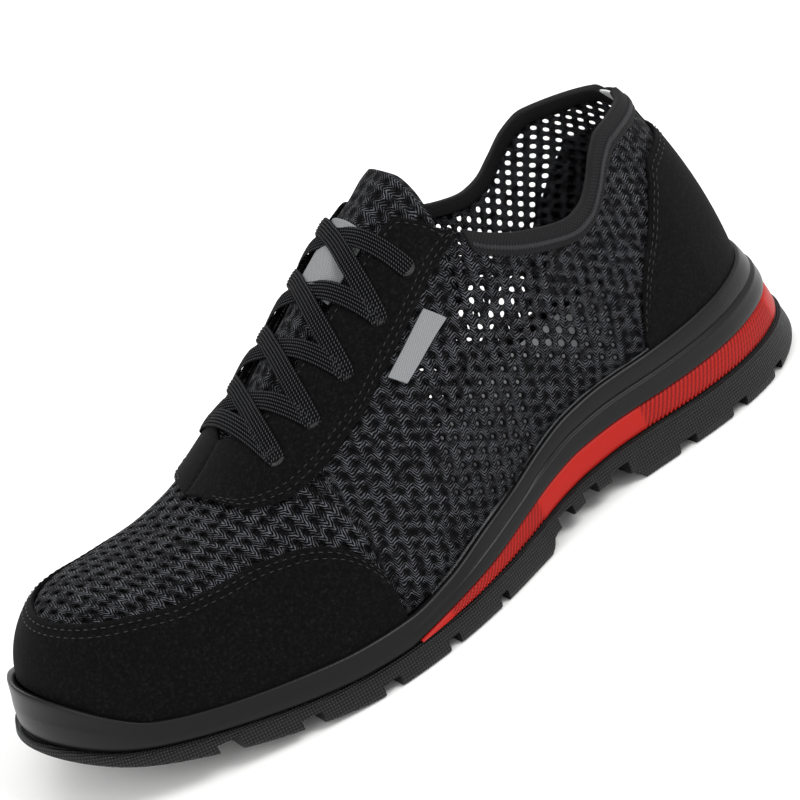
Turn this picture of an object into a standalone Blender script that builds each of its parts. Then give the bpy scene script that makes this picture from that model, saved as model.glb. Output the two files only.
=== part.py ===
# Low-cut safety sneaker, left shoe, standing empty on its sole.
# Toe along -X, heel along +X, lateral side along -Y, up +Z.
# The origin is on the floor under the middle of the sole. Lengths are in metres.
# A station is a share of the sole's length, counted from the back of the heel.

import math
from functools import lru_cache

import bmesh
import bpy
import numpy as np
from mathutils import Matrix, Vector

# Sole
sole_length = 0.300
ball_width = 0.110
heel_stack = 0.0375          # floor to the sole's rim beside the heel
lug_depth = 0.0030
stripe_recess = 0.0009       # how far the red layer lies inside the outsole
groove_depth = 0.0009
rim_lip = 0.0026             # width of the rim that cups the upper
rim_inset = 0.0045           # from the sole's outline in to the rim
heel_flare = 0.0050          # what the rim lies further in at the back

# Upper
instep_height = 0.114
toe_height = 0.0625
collar_height = 0.108
collar_dip = 0.089
eyestay_height = 0.1055
heel_lean = 0.018            # how far the heel's top leans forward
heel_pinch = 0.08
heel_notch = 0.0035
waist_overhang = 0.091 * ball_width
upper_wall = 0.0022
overlay_thickness = 0.0012
throat_gap = 0.127 * ball_width   # half the width of the throat

# Inside and trim
insole_thickness = 0.0030
tongue_thickness = 0.0042
tongue_width = 0.227 * ball_width   # half of it
tongue_puff = 0.0015         # how far its middle rises into the throat
label_width = 0.098 * ball_width   # half of it
binding_thickness = 0.0013
binding_drop = 0.0050        # what the binding covers of the outside
collar_pad = 0.0034
collar_pad_drop = 0.0120
label_thickness = 0.0008
lace_width = 0.0064
lace_thickness = 0.0011
lace_sag = 0.0004            # how high the lower lace lies over the throat
eyelet_radius = 0.0036
eyelet_bore = 0.0016
eyelet_wall = 0.0006
eyelet_flange = 0.0006
eyelet_seat = 0.0007         # from the eyestay up to the flange, on a curved face

clearance = 0.0003           # between neighbouring solids
skin_clearance = 0.00045     # between the upper and what is sewn on it
hole_clearance = 0.00035

# Stations where the side walls turn into the round heel and toe
heel_fan = 0.125
toe_fan = 0.830
collar_front = 0.392         # the eyestay's top corner
binding_front = 0.385
throat_end = 0.678
stripe_end = 0.640
heel_steps = 10
toe_steps = 12

# Station; then the two half widths as shares of the ball width.
sole_outline = (
    # station, lateral, medial
    (0.030, 0.205, 0.185),
    (0.140, 0.345, 0.345),
    (0.270, 0.355, 0.318),
    (0.400, 0.368, 0.275),
    (0.520, 0.455, 0.325),
    (0.630, 0.500, 0.440),
    (0.720, 0.485, 0.497),
    (0.810, 0.420, 0.493),
    (0.890, 0.335, 0.447),
    (0.955, 0.215, 0.345),
)
toe_tip_side = 0.085         # the toe's tip lies this far to the medial side

# Underside of the sole, as shares of the heel stack: heel bevel, arch and toe spring.
tread_line = (
    # station, height
    (0.000, 0.100),
    (0.050, 0.035),
    (0.100, 0.000),
    (0.300, 0.000),
    (0.310, 0.100),
    (0.355, 0.170),
    (0.400, 0.150),
    (0.438, 0.120),
    (0.448, 0.000),
    (0.690, 0.000),
    (0.760, 0.055),
    (0.820, 0.130),
    (0.880, 0.235),
    (0.940, 0.360),
    (1.000, 0.540),
)

# Layers of the sole, as shares of the heel stack.
sole_layers = (
    # station, outsole top, stripe, footbed, rim
    (0.000, 0.35, 0.29, 0.83, 1.04),
    (0.100, 0.35, 0.27, 0.82, 1.01),
    (0.200, 0.36, 0.25, 0.81, 0.98),
    (0.300, 0.38, 0.24, 0.80, 0.97),
    (0.360, 0.36, 0.24, 0.75, 0.92),
    (0.410, 0.32, 0.22, 0.66, 0.82),
    (0.460, 0.27, 0.19, 0.57, 0.71),
    (0.520, 0.24, 0.13, 0.46, 0.62),
    (0.580, 0.22, 0.09, 0.37, 0.50),
    (0.640, 0.21, 0.028, 0.31, 0.43),
    (0.650, 0.21, 0.006, 0.31, 0.43),
    (0.700, 0.22, 0.006, 0.32, 0.44),
    (0.760, 0.26, 0.006, 0.35, 0.48),
    (0.820, 0.32, 0.006, 0.40, 0.53),
    (0.880, 0.39, 0.006, 0.46, 0.60),
    (0.940, 0.48, 0.006, 0.54, 0.74),
    (1.000, 0.62, 0.006, 0.67, 0.97),
)

# Grooves across the tread: first and last station of each.
tread_grooves = (
    (0.078, 0.096),
    (0.149, 0.173),
    (0.228, 0.252),
    (0.318, 0.345),
    (0.364, 0.385),
    (0.403, 0.427),
    (0.526, 0.539),
    (0.600, 0.616),
    (0.679, 0.700),
    (0.765, 0.787),
    (0.845, 0.868),
)

# Sections of the upper: its crest, as shares of the instep and toe heights, and how
# square the section is across and upwards.
sections = (
    # station, of instep height, of toe height, width power, height power
    (0.000, 1.300, 0.000, 3.00, 2.40),
    (0.125, 1.300, 0.000, 3.00, 2.40),
    (0.250, 1.270, 0.000, 3.30, 2.40),
    (0.330, 1.160, 0.000, 3.20, 2.45),
    (0.390, 1.095, 0.000, 2.70, 2.40),
    (0.450, 1.040, 0.000, 2.25, 2.15),
    (0.500, 0.960, 0.000, 2.10, 2.05),
    (0.553, 0.865, 0.000, 2.00, 1.95),
    (0.607, 0.725, 0.080, 2.00, 1.90),
    (0.660, 0.500, 0.325, 2.05, 1.90),
    (0.740, 0.190, 0.665, 2.20, 2.05),
    (0.800, 0.045, 0.860, 2.50, 2.20),
    (0.850, 0.000, 0.940, 2.70, 2.30),
    (0.900, 0.000, 0.967, 2.80, 2.30),
    (0.950, 0.000, 0.960, 2.90, 2.40),
    (1.000, 0.000, 0.920, 2.90, 2.40),
)

# How far the medial wall swells out over the sole's waist.
overhang_line = (
    # station, share of the overhang
    (0.140, 0.00),
    (0.270, 0.40),
    (0.400, 0.90),
    (0.490, 1.00),
    (0.560, 0.80),
    (0.640, 0.25),
    (0.710, 0.00),
)

# Collar line above the dip, as shares of the rise at the heel and of that at the front.
collar_line = (
    # station, heel rise, front rise
    (0.000, 1.00, 0.00),
    (0.125, 0.93, 0.00),
    (0.160, 0.72, 0.00),
    (0.195, 0.38, 0.00),
    (0.230, 0.10, 0.00),
    (0.265, 0.00, 0.04),
    (0.300, 0.00, 0.16),
    (0.335, 0.00, 0.36),
    (0.365, 0.00, 0.64),
    (0.392, 0.00, 1.00),
)

# Half width of the throat as a share of the throat gap.
throat_line = (
    # station, half width
    (0.404, 1.60),
    (0.422, 1.26),
    (0.440, 1.00),
    (0.560, 0.96),
    (0.630, 0.86),
    (0.655, 0.68),
    (0.670, 0.38),
    (0.678, 0.10),
)

# Upper edge of the toe cap and outer edge of the eyestay, as shares of the way from the
# sole (0) up to the crest (1).
toe_cap_edge = (
    # station, share
    (0.626, 0.05),
    (0.637, 0.17),
    (0.650, 0.27),
    (0.672, 0.37),
    (0.710, 0.47),
    (0.758, 0.54),
    (0.850, 0.58),
    (0.930, 0.60),
    (1.000, 0.63),
)
eyestay_edge = (
    # station, share
    (0.392, 0.535),
    (0.428, 0.538),
    (0.468, 0.527),
    (0.560, 0.527),
    (0.620, 0.546),
    (0.667, 0.576),
    (0.691, 0.623),
    (0.713, 0.704),
    (0.726, 0.830),
    (0.733, 0.930),
    (0.738, 1.000),
)

# Top edge of the heel counter as a share of the way up to the collar.
counter_edge = (
    # station, share
    (0.000, 0.80),
    (0.100, 0.76),
    (0.125, 0.68),
    (0.166, 0.56),
    (0.190, 0.50),
    (0.215, 0.38),
    (0.233, 0.22),
    (0.243, 0.06),
)

# Half width of the tongue as a share of its named width.
tongue_line = (
    # station, half width
    (0.388, 0.60),
    (0.390, 0.78),
    (0.396, 0.95),
    (0.404, 1.04),
    (0.440, 1.00),
    (0.600, 0.92),
    (0.655, 0.85),
    (0.690, 0.80),
)
tongue_stations = (0.388, 0.390, 0.396, 0.404, 0.422, 0.440, 0.480, 0.520, 0.560,
                   0.600, 0.635, 0.655, 0.670, 0.690)

# Eyelets: station and share of the way up to the crest.
eyelet_places = (
    (0.662, 0.717),
    (0.614, 0.675),
    (0.562, 0.656),
    (0.506, 0.637),
    (0.456, 0.627),
)

upper_stations = (0.155, 0.185, 0.215, 0.245, 0.275, 0.310, 0.345, 0.372, 0.392, 0.404,
                  0.422, 0.440, 0.480, 0.520, 0.560, 0.600, 0.635, 0.655, 0.670, 0.678, 0.705,
                  0.722, 0.738, 0.768, 0.800)
sole_stations = (0.165, 0.210, 0.255, 0.300, 0.310, 0.335, 0.365, 0.400, 0.438, 0.448,
                 0.490, 0.535, 0.580, 0.620, 0.640, 0.650, 0.690, 0.725, 0.760, 0.795)


def along(table, column, station):
    """Reads a column of a table at a station, by a smooth curve that never overshoots."""
    xs = [row[0] for row in table]
    ys = [row[column] for row in table]
    if station <= xs[0]:
        return ys[0]
    if station >= xs[-1]:
        return ys[-1]
    k = max(i for i in range(len(xs) - 1) if xs[i] <= station)
    steep = [(ys[i + 1] - ys[i]) / (xs[i + 1] - xs[i]) for i in range(len(xs) - 1)]

    def slope(i):
        if i == 0:
            return steep[0]
        if i == len(xs) - 1:
            return steep[-1]
        before, after = steep[i - 1], steep[i]
        return 0.0 if before * after <= 0 else 2 * before * after / (before + after)

    h = xs[k + 1] - xs[k]
    f = (station - xs[k]) / h
    g = 1 - f
    return (ys[k] * (1 + 2 * f) * g * g + ys[k + 1] * (3 - 2 * f) * f * f
            + slope(k) * h * f * g * g - slope(k + 1) * h * f * f * g)


def ease(f):
    f = min(max(f, 0.0), 1.0)
    return f * f * (3 - 2 * f)


def x_of(station):
    return sole_length * (0.5 - station)


def station_of(x):
    return 0.5 - x / sole_length


def outline_curve(steps=20):
    """The sole's outline: a closed cubic spline through the table, at its named size."""
    rows = [(0.0, 0.0)]
    rows += [(station, -lateral) for station, lateral, medial in sole_outline]
    rows += [(1.0, toe_tip_side)]
    rows += [(station, medial) for station, lateral, medial in reversed(sole_outline)]
    knots = np.array([(x_of(station), side * ball_width) for station, side in rows])
    count = len(knots)
    ring = np.vstack([knots, knots[:1]])
    span = np.linalg.norm(np.diff(ring, axis=0), axis=1) ** 0.75
    matrix = np.zeros((count, count))
    right = np.zeros((count, 2))
    for i in range(count):
        before, after = span[i - 1], span[i]
        following = (i + 1) % count
        matrix[i, i - 1] += before
        matrix[i, i] += 2 * (before + after)
        matrix[i, following] += after
        right[i] = 6 * ((knots[following] - knots[i]) / after - (knots[i] - knots[i - 1]) / before)
    bend = np.linalg.solve(matrix, right)
    bend = np.vstack([bend, bend[:1]])
    curve = []
    for k in range(count):
        for f in np.linspace(0, 1, steps, endpoint=False):
            d, e = f * span[k], (1 - f) * span[k]
            curve.append((bend[k] * e ** 3 + bend[k + 1] * d ** 3) / (6 * span[k])
                         + (ring[k] / span[k] - bend[k] * span[k] / 6) * e
                         + (ring[k + 1] / span[k] - bend[k + 1] * span[k] / 6) * d)
    curve = np.array(curve)
    low, high = curve.min(axis=0), curve.max(axis=0)
    return (curve - (low + high) / 2) * np.array([sole_length, ball_width]) / (high - low)


outline = outline_curve()


def reach(centre, heading):
    """Distance from a centre along a heading to the sole's outline."""
    start = outline - centre
    end = np.roll(outline, -1, axis=0) - centre
    side_start = start[:, 0] * heading[1] - start[:, 1] * heading[0]
    side_end = end[:, 0] * heading[1] - end[:, 1] * heading[0]
    farthest = 0.0
    for k in np.where(side_start * side_end <= 0)[0]:
        if side_start[k] != side_end[k]:
            f = side_start[k] / (side_start[k] - side_end[k])
            farthest = max(farthest, (start[k] + (end[k] - start[k]) * f) @ heading)
    return farthest


# A place on the outline is ("heel", angle), ("lateral", station), ("toe", angle) or
# ("medial", station). Each looks outwards from a point of the spine.

def spine(station):
    f = ease((station - 0.35) / (toe_fan - 0.35))
    return np.array([x_of(station), 0.045 * ball_width * f])


def ray(place):
    kind, value = place
    if kind in ("heel", "toe"):
        angle = math.radians(value)
        centre = spine(heel_fan if kind == "heel" else toe_fan)
        return centre, np.array([math.cos(angle), math.sin(angle)])
    return spine(value), np.array([0.0, -1.0 if kind == "lateral" else 1.0])


def ring(stations):
    """Places once round the shoe: heel, lateral side, toe, medial side, heel."""
    half = heel_steps // 2
    turn = 180 / heel_steps
    straight = [heel_fan, *stations, toe_fan]
    places = [("heel", -turn * i) for i in range(half)]
    places += [("lateral", station) for station in straight]
    places += [("toe", -90 - 180 / toe_steps * i) for i in range(1, toe_steps)]
    places += [("medial", station) for station in reversed(straight)]
    places += [("heel", turn * i) for i in range(half - 1, -1, -1)]
    return places


@lru_cache(maxsize=None)
def edge_of_sole(place):
    centre, heading = ray(place)
    distance = reach(centre, heading)
    return centre, heading, distance, station_of((centre + heading * distance)[0])


def rim_line(station):
    return rim_inset + heel_flare * max((0.25 - station) / 0.25, 0.0)


@lru_cache(maxsize=None)
def foot_of_upper(place):
    """Where the upper's outer face meets the footbed."""
    centre, heading, distance, station = edge_of_sole(place)
    radius = distance - rim_line(station) - rim_lip - clearance
    return centre, heading, radius, station_of((centre + heading * radius)[0])


def layer(column, station):
    return heel_stack * along(sole_layers, column, station)


def tread(station):
    return heel_stack * along(tread_line, 1, station)


def footbed(station):
    return layer(3, station)


def crest(station):
    return (instep_height * along(sections, 1, station)
            + toe_height * along(sections, 2, station))


def collar(place):
    station = place[1] if place[0] in ("lateral", "medial") else foot_of_upper(place)[3]
    rise = along(collar_line, 1, station) * (collar_height - collar_dip)
    rise += along(collar_line, 2, station) * (eyestay_height - collar_dip)
    notch = heel_notch if place[0] == "heel" and abs(place[1]) < 1 else 0.0
    return collar_dip + rise - notch


def skin(place, share):
    """Outer face of the upper, from the footbed (share 0) up to its crest (share 1)."""
    centre, heading, radius, station = foot_of_upper(place)
    if place[0] == "medial":
        lift = ease((share - 0.08) / 0.35)
        radius += waist_overhang * along(overhang_line, 1, station) * lift
    base = footbed(station) + clearance
    phi = min(max(share, 0.0), 1.0) * math.pi / 2
    width_power = along(sections, 3, station)
    height_power = along(sections, 4, station)
    spread = max(math.cos(phi), 0.0) ** (2 / width_power) if share < 1 else 0.0
    spot = centre + heading * radius * spread
    here = station_of(spot[0])
    z = base + (crest(here) - base) * math.sin(phi) ** (2 / height_power)
    rise = (z - base) / (collar_height - base)
    back = ease((0.36 - here) / 0.26)
    x = spot[0] - heel_lean * back * rise ** 1.5
    pinch = 1 - heel_pinch * ease((0.27 - here) / 0.15) * min(rise, 1.2) ** 1.5
    return Vector((x, centre[1] + (spot[1] - centre[1]) * pinch, z))


def normal(place, share):
    kind, value = place
    around = kind in ("heel", "toe")
    step = -0.5 if around else -0.002 if kind == "medial" else 0.002
    middle = min(max(share, 0.012), 0.980)
    low, high = middle - 0.010, middle + 0.010
    upwards = skin(place, high) - skin(place, low)
    onwards = skin((kind, value + step), middle) - skin((kind, value - step), middle)
    out = upwards.cross(onwards)
    if share > 0.995 and kind in ("lateral", "medial"):
        out.y = 0.0
    if share > 0.995 and kind == "toe":
        out = Vector((0.0, 0.0, 1.0))
    return out.normalized()


def lifted(place, share, height):
    return skin(place, share) + normal(place, share) * height


def share_at_height(place, height):
    """The share at which the upper's outer face reaches a height."""
    low, high = 0.0, 1.0
    for _ in range(40):
        middle = (low + high) / 2
        if skin(place, middle).z < height:
            low = middle
        else:
            high = middle
    return (low + high) / 2


def share_at_width(station, width):
    """The share at which the lateral side comes within a half width of the spine."""
    low, high = 0.0, 1.0
    for _ in range(40):
        middle = (low + high) / 2
        if spine(station)[1] - skin(("lateral", station), middle).y > width:
            low = middle
        else:
            high = middle
    return (low + high) / 2


@lru_cache(maxsize=None)
def top_share(place):
    """The upper's top edge: the collar, the throat, or the crest where it is closed."""
    kind, value = place
    if kind == "toe" or (kind != "heel" and value > throat_end):
        return 1.0
    if kind == "heel" or value <= collar_front:
        return share_at_height(place, collar(place))
    return share_at_width(value, throat_gap * along(throat_line, 1, value))


# Objects

def clear_scene():
    for old in list(bpy.data.objects):
        bpy.data.objects.remove(old, do_unlink=True)


def collection(name, hidden=False):
    made = bpy.data.collections.new(name)
    bpy.context.scene.collection.children.link(made)
    made.hide_render = hidden
    return made


clear_scene()
parts = collection("safety_sneaker")
cutters = collection("cutters", hidden=True)


def material(name, colour, roughness, metallic=0.0):
    made = bpy.data.materials.new(name)
    made.use_nodes = True
    shader = made.node_tree.nodes["Principled BSDF"]
    shader.inputs["Base Color"].default_value = (*colour, 1.0)
    shader.inputs["Roughness"].default_value = roughness
    shader.inputs["Metallic"].default_value = metallic
    return made


def add_object(name, bm, finish=None, cutter=False):
    mesh = bpy.data.meshes.new(name)
    bm.to_mesh(mesh)
    bm.free()
    made = bpy.data.objects.new(name, mesh)
    (cutters if cutter else parts).objects.link(made)
    if finish:
        mesh.materials.append(finish)
        mesh.shade_smooth()
        mesh.set_sharp_from_angle(angle=math.radians(40))
    if cutter:
        made.hide_render = True
        made.display_type = "WIRE"
    return made


def sheet(columns, rows, point):
    """A grid whose vertex (i, j) goes to point(i, j), faces turned outwards."""
    bm = bmesh.new()
    bmesh.ops.create_grid(bm, x_segments=columns, y_segments=rows, size=0.5)
    for vertex in bm.verts:
        i = round((vertex.co.x + 0.5) * columns)
        j = round((vertex.co.y + 0.5) * rows)
        vertex.co = point(i, j)
    bmesh.ops.reverse_faces(bm, faces=bm.faces[:])
    return bm


def weld(bm):
    """Joins a grid's meeting edges and drops the faces that have closed to a line."""
    bmesh.ops.remove_doubles(bm, verts=bm.verts[:], dist=1e-6)
    bmesh.ops.dissolve_degenerate(bm, edges=bm.edges[:], dist=1e-7)
    return bm


def close(bm):
    """Caps the open ends of a tube-like grid and turns its faces outwards."""
    ends = [edge for edge in bm.edges if edge.is_boundary]
    if ends:
        bmesh.ops.holes_fill(bm, edges=ends, sides=0)
    bmesh.ops.recalc_face_normals(bm, faces=bm.faces[:])
    return bm


def thicken(thing, thickness, outwards):
    solid = thing.modifiers.new("wall", "SOLIDIFY")
    solid.thickness = thickness
    solid.offset = 1.0 if outwards else -1.0
    return thing


def cut(thing, cutter, operation="DIFFERENCE"):
    boolean = thing.modifiers.new(operation.lower(), "BOOLEAN")
    boolean.operation = operation
    boolean.solver = "EXACT"
    boolean.object = cutter
    return thing


def overlay(name, places, rows, low, high, thickness, finish, base=skin_clearance):
    """A piece that lies on the upper between two lines given as shares."""
    def point(i, j):
        place = places[i]
        bottom, top = low(place), high(place)
        return lifted(place, bottom + (top - bottom) * j / rows, base)

    bm = sheet(len(places) - 1, rows, point)
    weld(bm)
    return thicken(add_object(name, bm, finish), thickness, outwards=True)


# Sole

def slab(name, places, rows, finish):
    """A layer of the sole. Each row gives (distance from the outline, height, share of
    the radius) at a place; the first and last row lie on the spine."""
    def point(i, j):
        centre, heading, distance, _ = edge_of_sole(places[i])
        inset, height, radial = rows[j]
        full = distance - inset(places[i])
        spot = centre + heading * full * radial
        return Vector((spot[0], spot[1], height(station_of(spot[0]))))

    bm = weld(sheet(len(places) - 1, len(rows) - 1, point))
    return add_object(name, close(bm), finish)


def side_lean(place, height_share):
    """How far the sole's side lies inside the outline at a share of its height."""
    station = edge_of_sole(place)[3]
    return rim_line(station) * max(height_share, 0.0) ** 1.3


def inset_at(share, extra=0.0):
    return lambda place: side_lean(place, share) + extra


def build_outsole(finish):
    def top(station):
        return layer(1, station)

    rows = (
        (inset_at(0.0, 0.0018), tread, 0.0),
        (inset_at(0.0, 0.0018), tread, 0.55),
        (inset_at(0.0, 0.0018), tread, 1.0),
        (inset_at(0.0), lambda s: tread(s) + 0.22 * (top(s) - tread(s)), 1.0),
        (inset_at(0.3), top, 1.0),
        (inset_at(0.3), top, 0.55),
        (inset_at(0.3), top, 0.0),
    )
    outsole = slab("outsole", ring(sole_stations), rows, finish)
    below = heel_stack * 0.3
    bm = bmesh.new()
    for first, last in tread_grooves:
        roof = tread((first + last) / 2) + lug_depth
        box = bmesh.ops.create_cube(bm, size=1.0)["verts"]
        size = (sole_length * (last - first), ball_width * 1.3, roof + below)
        middle = (x_of((first + last) / 2), 0.0, (roof - below) / 2)
        bmesh.ops.transform(bm, matrix=Matrix.LocRotScale(Vector(middle), None, Vector(size)),
                            verts=box)
    return cut(outsole, add_object("tread_cutter", bm, cutter=True))


def stripe_top(station):
    return layer(1, station) + layer(2, station)


def build_stripe(finish):
    def bottom(station):
        return layer(1, station) + clearance

    places = [("medial", s) for s in reversed([heel_fan, *sole_stations]) if s <= stripe_end]
    places += [place for place in ring(sole_stations) if place[0] == "heel" and place[1] > 0]
    places += [("heel", 0.0)]
    places += [place for place in ring(sole_stations) if place[0] == "heel" and place[1] < 0]
    places += [("lateral", s) for s in [heel_fan, *sole_stations] if s <= stripe_end]
    rows = (
        (inset_at(0.32, stripe_recess), bottom, 0.0),
        (inset_at(0.32, stripe_recess), bottom, 0.55),
        (inset_at(0.32, stripe_recess), bottom, 1.0),
        (inset_at(0.58, stripe_recess), stripe_top, 1.0),
        (inset_at(0.58, stripe_recess), stripe_top, 0.55),
        (inset_at(0.58, stripe_recess), stripe_top, 0.0),
    )
    return slab("midsole_stripe", places, rows, finish)


def build_midsole(finish):
    def bottom(station):
        return stripe_top(station) + clearance

    def rim(station):
        return layer(4, station)

    def up(share, drop=0.0):
        return lambda s: bottom(s) + share * (rim(s) - bottom(s)) - drop

    def groove(share, depth):
        def inset(place):
            station = edge_of_sole(place)[3]
            return side_lean(place, share) + depth * ease((0.44 - station) / 0.06)
        return inset

    def lip(width):
        return lambda place: rim_line(edge_of_sole(place)[3]) + width

    rows = (
        (inset_at(0.58), bottom, 0.0),
        (inset_at(0.58), bottom, 0.55),
        (inset_at(0.58), bottom, 1.0),
        (groove(0.74, 0.0), up(0.46), 1.0),
        (groove(0.78, groove_depth), up(0.52), 1.0),
        (groove(0.96, groove_depth * 0.3), up(0.90), 1.0),
        (lip(rim_lip * 0.35), rim, 1.0),
        (lip(rim_lip * 0.80), lambda s: rim(s) - 0.0001, 1.0),
        (lip(rim_lip), lambda s: rim(s) - 0.0008, 1.0),
        (lip(rim_lip), footbed, 1.0),
        (lip(rim_lip), footbed, 0.55),
        (lip(rim_lip), footbed, 0.0),
    )
    return slab("midsole", ring(sole_stations), rows, finish)


def build_insole(finish):
    def edge(place):
        return rim_line(edge_of_sole(place)[3]) + rim_lip + clearance + upper_wall + 2 * clearance

    def bottom(station):
        return footbed(station) + clearance

    def top(station):
        return bottom(station) + insole_thickness

    rows = (
        (edge, bottom, 0.0),
        (edge, bottom, 0.55),
        (edge, bottom, 1.0),
        (edge, top, 1.0),
        (edge, top, 0.55),
        (edge, top, 0.0),
    )
    return slab("insole", ring(sole_stations), rows, finish)


# Upper

def eyelet_frames(side):
    """Where each eyelet of a side stands: its place, centre and outward direction."""
    for station, share in eyelet_places:
        place = (side, station)
        yield place, share, skin(place, share), normal(place, share)


def turn_to(centre, direction):
    return Matrix.Translation(centre) @ direction.to_track_quat("Z", "Y").to_matrix().to_4x4()


def build_eyelet_cutter():
    bm = bmesh.new()
    radius = eyelet_bore + eyelet_wall + hole_clearance
    for side in ("lateral", "medial"):
        for _, _, centre, direction in eyelet_frames(side):
            bmesh.ops.create_cone(bm, cap_ends=True, segments=8, radius1=radius, radius2=radius,
                                  depth=0.010, matrix=turn_to(centre, direction))
    return add_object("eyelet_cutter", bm, cutter=True)


def build_upper(finish, eyelet_cutter):
    places = ring(upper_stations)
    rows = 8

    def point(i, j):
        place = places[i]
        return skin(place, top_share(place) * (j / rows) ** 0.9)

    bm = weld(sheet(len(places) - 1, rows, point))
    upper = thicken(add_object("upper", bm, finish), upper_wall, outwards=False)
    return cut(upper, eyelet_cutter)


def cap_share(place):
    station = foot_of_upper(place)[3] if place[0] == "toe" else place[1]
    return along(toe_cap_edge, 1, station)


def above_rim(place):
    """The share at which the upper comes free of the sole's rim."""
    rim = layer(4, foot_of_upper(place)[3])
    return share_at_height(place, rim + 2 * clearance)


def build_toe_cap(finish):
    stations = [s for s in upper_stations if s > toe_cap_edge[0][0] + 0.012]
    first = toe_cap_edge[1][0] + 0.006
    straight = [first, *[s for s in stations if s > first + 0.006], toe_fan]
    places = [("lateral", s) for s in straight]
    places += [("toe", -90 - 180 / toe_steps * i) for i in range(1, toe_steps)]
    places += [("medial", s) for s in reversed(straight)]
    return overlay("toe_cap", places, 6, above_rim, cap_share, overlay_thickness, finish)


def build_counter(finish):
    def top(place):
        station = foot_of_upper(place)[3] if place[0] == "heel" else place[1]
        share = along(counter_edge, 1, station)
        base = footbed(foot_of_upper(place)[3])
        return share_at_height(place, base + share * (collar(place) - base))

    straight = [s for s in (heel_fan, *upper_stations) if s < 0.22] + [0.228]
    turn = 180 / heel_steps
    places = [("medial", s) for s in reversed(straight)]
    places += [("heel", turn * i) for i in range(heel_steps // 2 - 1, -heel_steps // 2, -1)]
    places += [("lateral", s) for s in straight]
    return overlay("heel_counter", places, 6, above_rim, top, overlay_thickness, finish)


def build_eyestay(finish, eyelet_cutter):
    """Both sides in one piece, which join across the front of the throat."""
    straight = [s for s in upper_stations if collar_front <= s < 0.70]
    straight += [0.705, 0.722, 0.730, 0.738]
    rows = 5

    def side_sheet(side):
        def spot(i, j):
            place = (side, straight[i])
            low, high = along(eyestay_edge, 1, straight[i]), top_share(place)
            return lifted(place, low + (high - low) * j / rows, skin_clearance)

        bm = sheet(len(straight) - 1, rows, spot)
        if side == "medial":
            bmesh.ops.reverse_faces(bm, faces=bm.faces[:])
        return bm

    bm, medial = side_sheet("lateral"), side_sheet("medial")
    spare = bpy.data.meshes.new("eyestay_medial")
    medial.to_mesh(spare)
    medial.free()
    bm.from_mesh(spare)
    bpy.data.meshes.remove(spare)
    eyestay = add_object("eyestay", weld(bm), finish)
    return cut(thicken(eyestay, overlay_thickness, outwards=True), eyelet_cutter)


def build_binding(finish):
    """A padded band that wraps the collar's edge from one eyestay round the heel."""
    straight = [s for s in (heel_fan, *upper_stations) if s < binding_front] + [binding_front]
    turn = 180 / heel_steps
    places = [("medial", s) for s in reversed(straight)]
    places += [("heel", turn * i) for i in range(heel_steps // 2 - 1, -heel_steps // 2, -1)]
    places += [("lateral", s) for s in straight]

    def section(place):
        top = top_share(place)
        edge = skin(place, top)
        outer_low = share_at_height(place, edge.z - binding_drop)
        inner_low = share_at_height(place, edge.z - collar_pad_drop)
        out = normal(place, top)
        up = (edge - skin(place, top - 0.02)).normalized()
        near, far = skin_clearance, skin_clearance + binding_thickness
        inside = -upper_wall - clearance
        return (
            lifted(place, outer_low, near),
            lifted(place, outer_low, far),
            edge + out * far - up * 0.0004,
            edge + out * (far - 0.5 * binding_thickness) + up * far * 0.75,
            edge + out * (inside / 2) + up * far * 1.15,
            edge + out * (inside - 0.7 * collar_pad) + up * far * 0.55,
            edge + out * (inside - collar_pad) - up * 0.0015,
            lifted(place, inner_low, inside - 0.7 * collar_pad),
            lifted(place, inner_low, inside - 0.0001),
            edge + out * inside + up * near,
            edge + out * near + up * near,
        )

    sections_made = [section(place) for place in places]
    count = len(sections_made[0])
    bm = sheet(len(places) - 1, count, lambda i, j: sections_made[i][j % count])
    return add_object("collar_binding", close(weld(bm)), finish)


def tongue_face(station, width, height=0.0):
    """A point of the tongue's outer face at a signed distance from the spine."""
    place = ("lateral" if width <= 0 else "medial", station)
    gap = throat_gap * min(along(throat_line, 1, station), 1.0)
    puff = tongue_puff * ease((gap - 0.001 - abs(width)) / (0.6 * throat_gap))
    depth = puff - upper_wall - 4 * clearance
    return lifted(place, share_at_width(station, abs(width)), depth + height)


def build_tongue(finish):
    across = 12

    def point(i, j):
        station = tongue_stations[i]
        width = tongue_width * along(tongue_line, 1, station)
        return tongue_face(station, width * (2 * j / across - 1))

    bm = weld(sheet(len(tongue_stations) - 1, across, point))
    return thicken(add_object("tongue", bm, finish), tongue_thickness, outwards=False)


def build_label(finish):
    """A blank woven patch near the top of the tongue."""
    stations = (0.462, 0.480, 0.500, 0.520, 0.534)

    def point(i, j):
        return tongue_face(stations[i], label_width * (j / 2 - 1), skin_clearance)

    bm = weld(sheet(len(stations) - 1, 4, point))
    return thicken(add_object("tongue_label", bm, finish), label_thickness, outwards=True)


def build_side_tag(finish):
    """A blank folded tag beside the eyestay, on the lateral side."""
    top_back, low_back = np.array([0.463, 0.502]), np.array([0.446, 0.424])
    low_front, top_front = np.array([0.519, 0.445]), np.array([0.532, 0.508])

    def point(i, j):
        top = top_back + (top_front - top_back) * i / 4
        low = low_back + (low_front - low_back) * i / 4
        station, share = low + (top - low) * j / 2
        return lifted(("lateral", station), share, skin_clearance)

    return thicken(add_object("side_tag", sheet(4, 2, point), finish), label_thickness, outwards=True)


# Eyelets and lace

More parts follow.
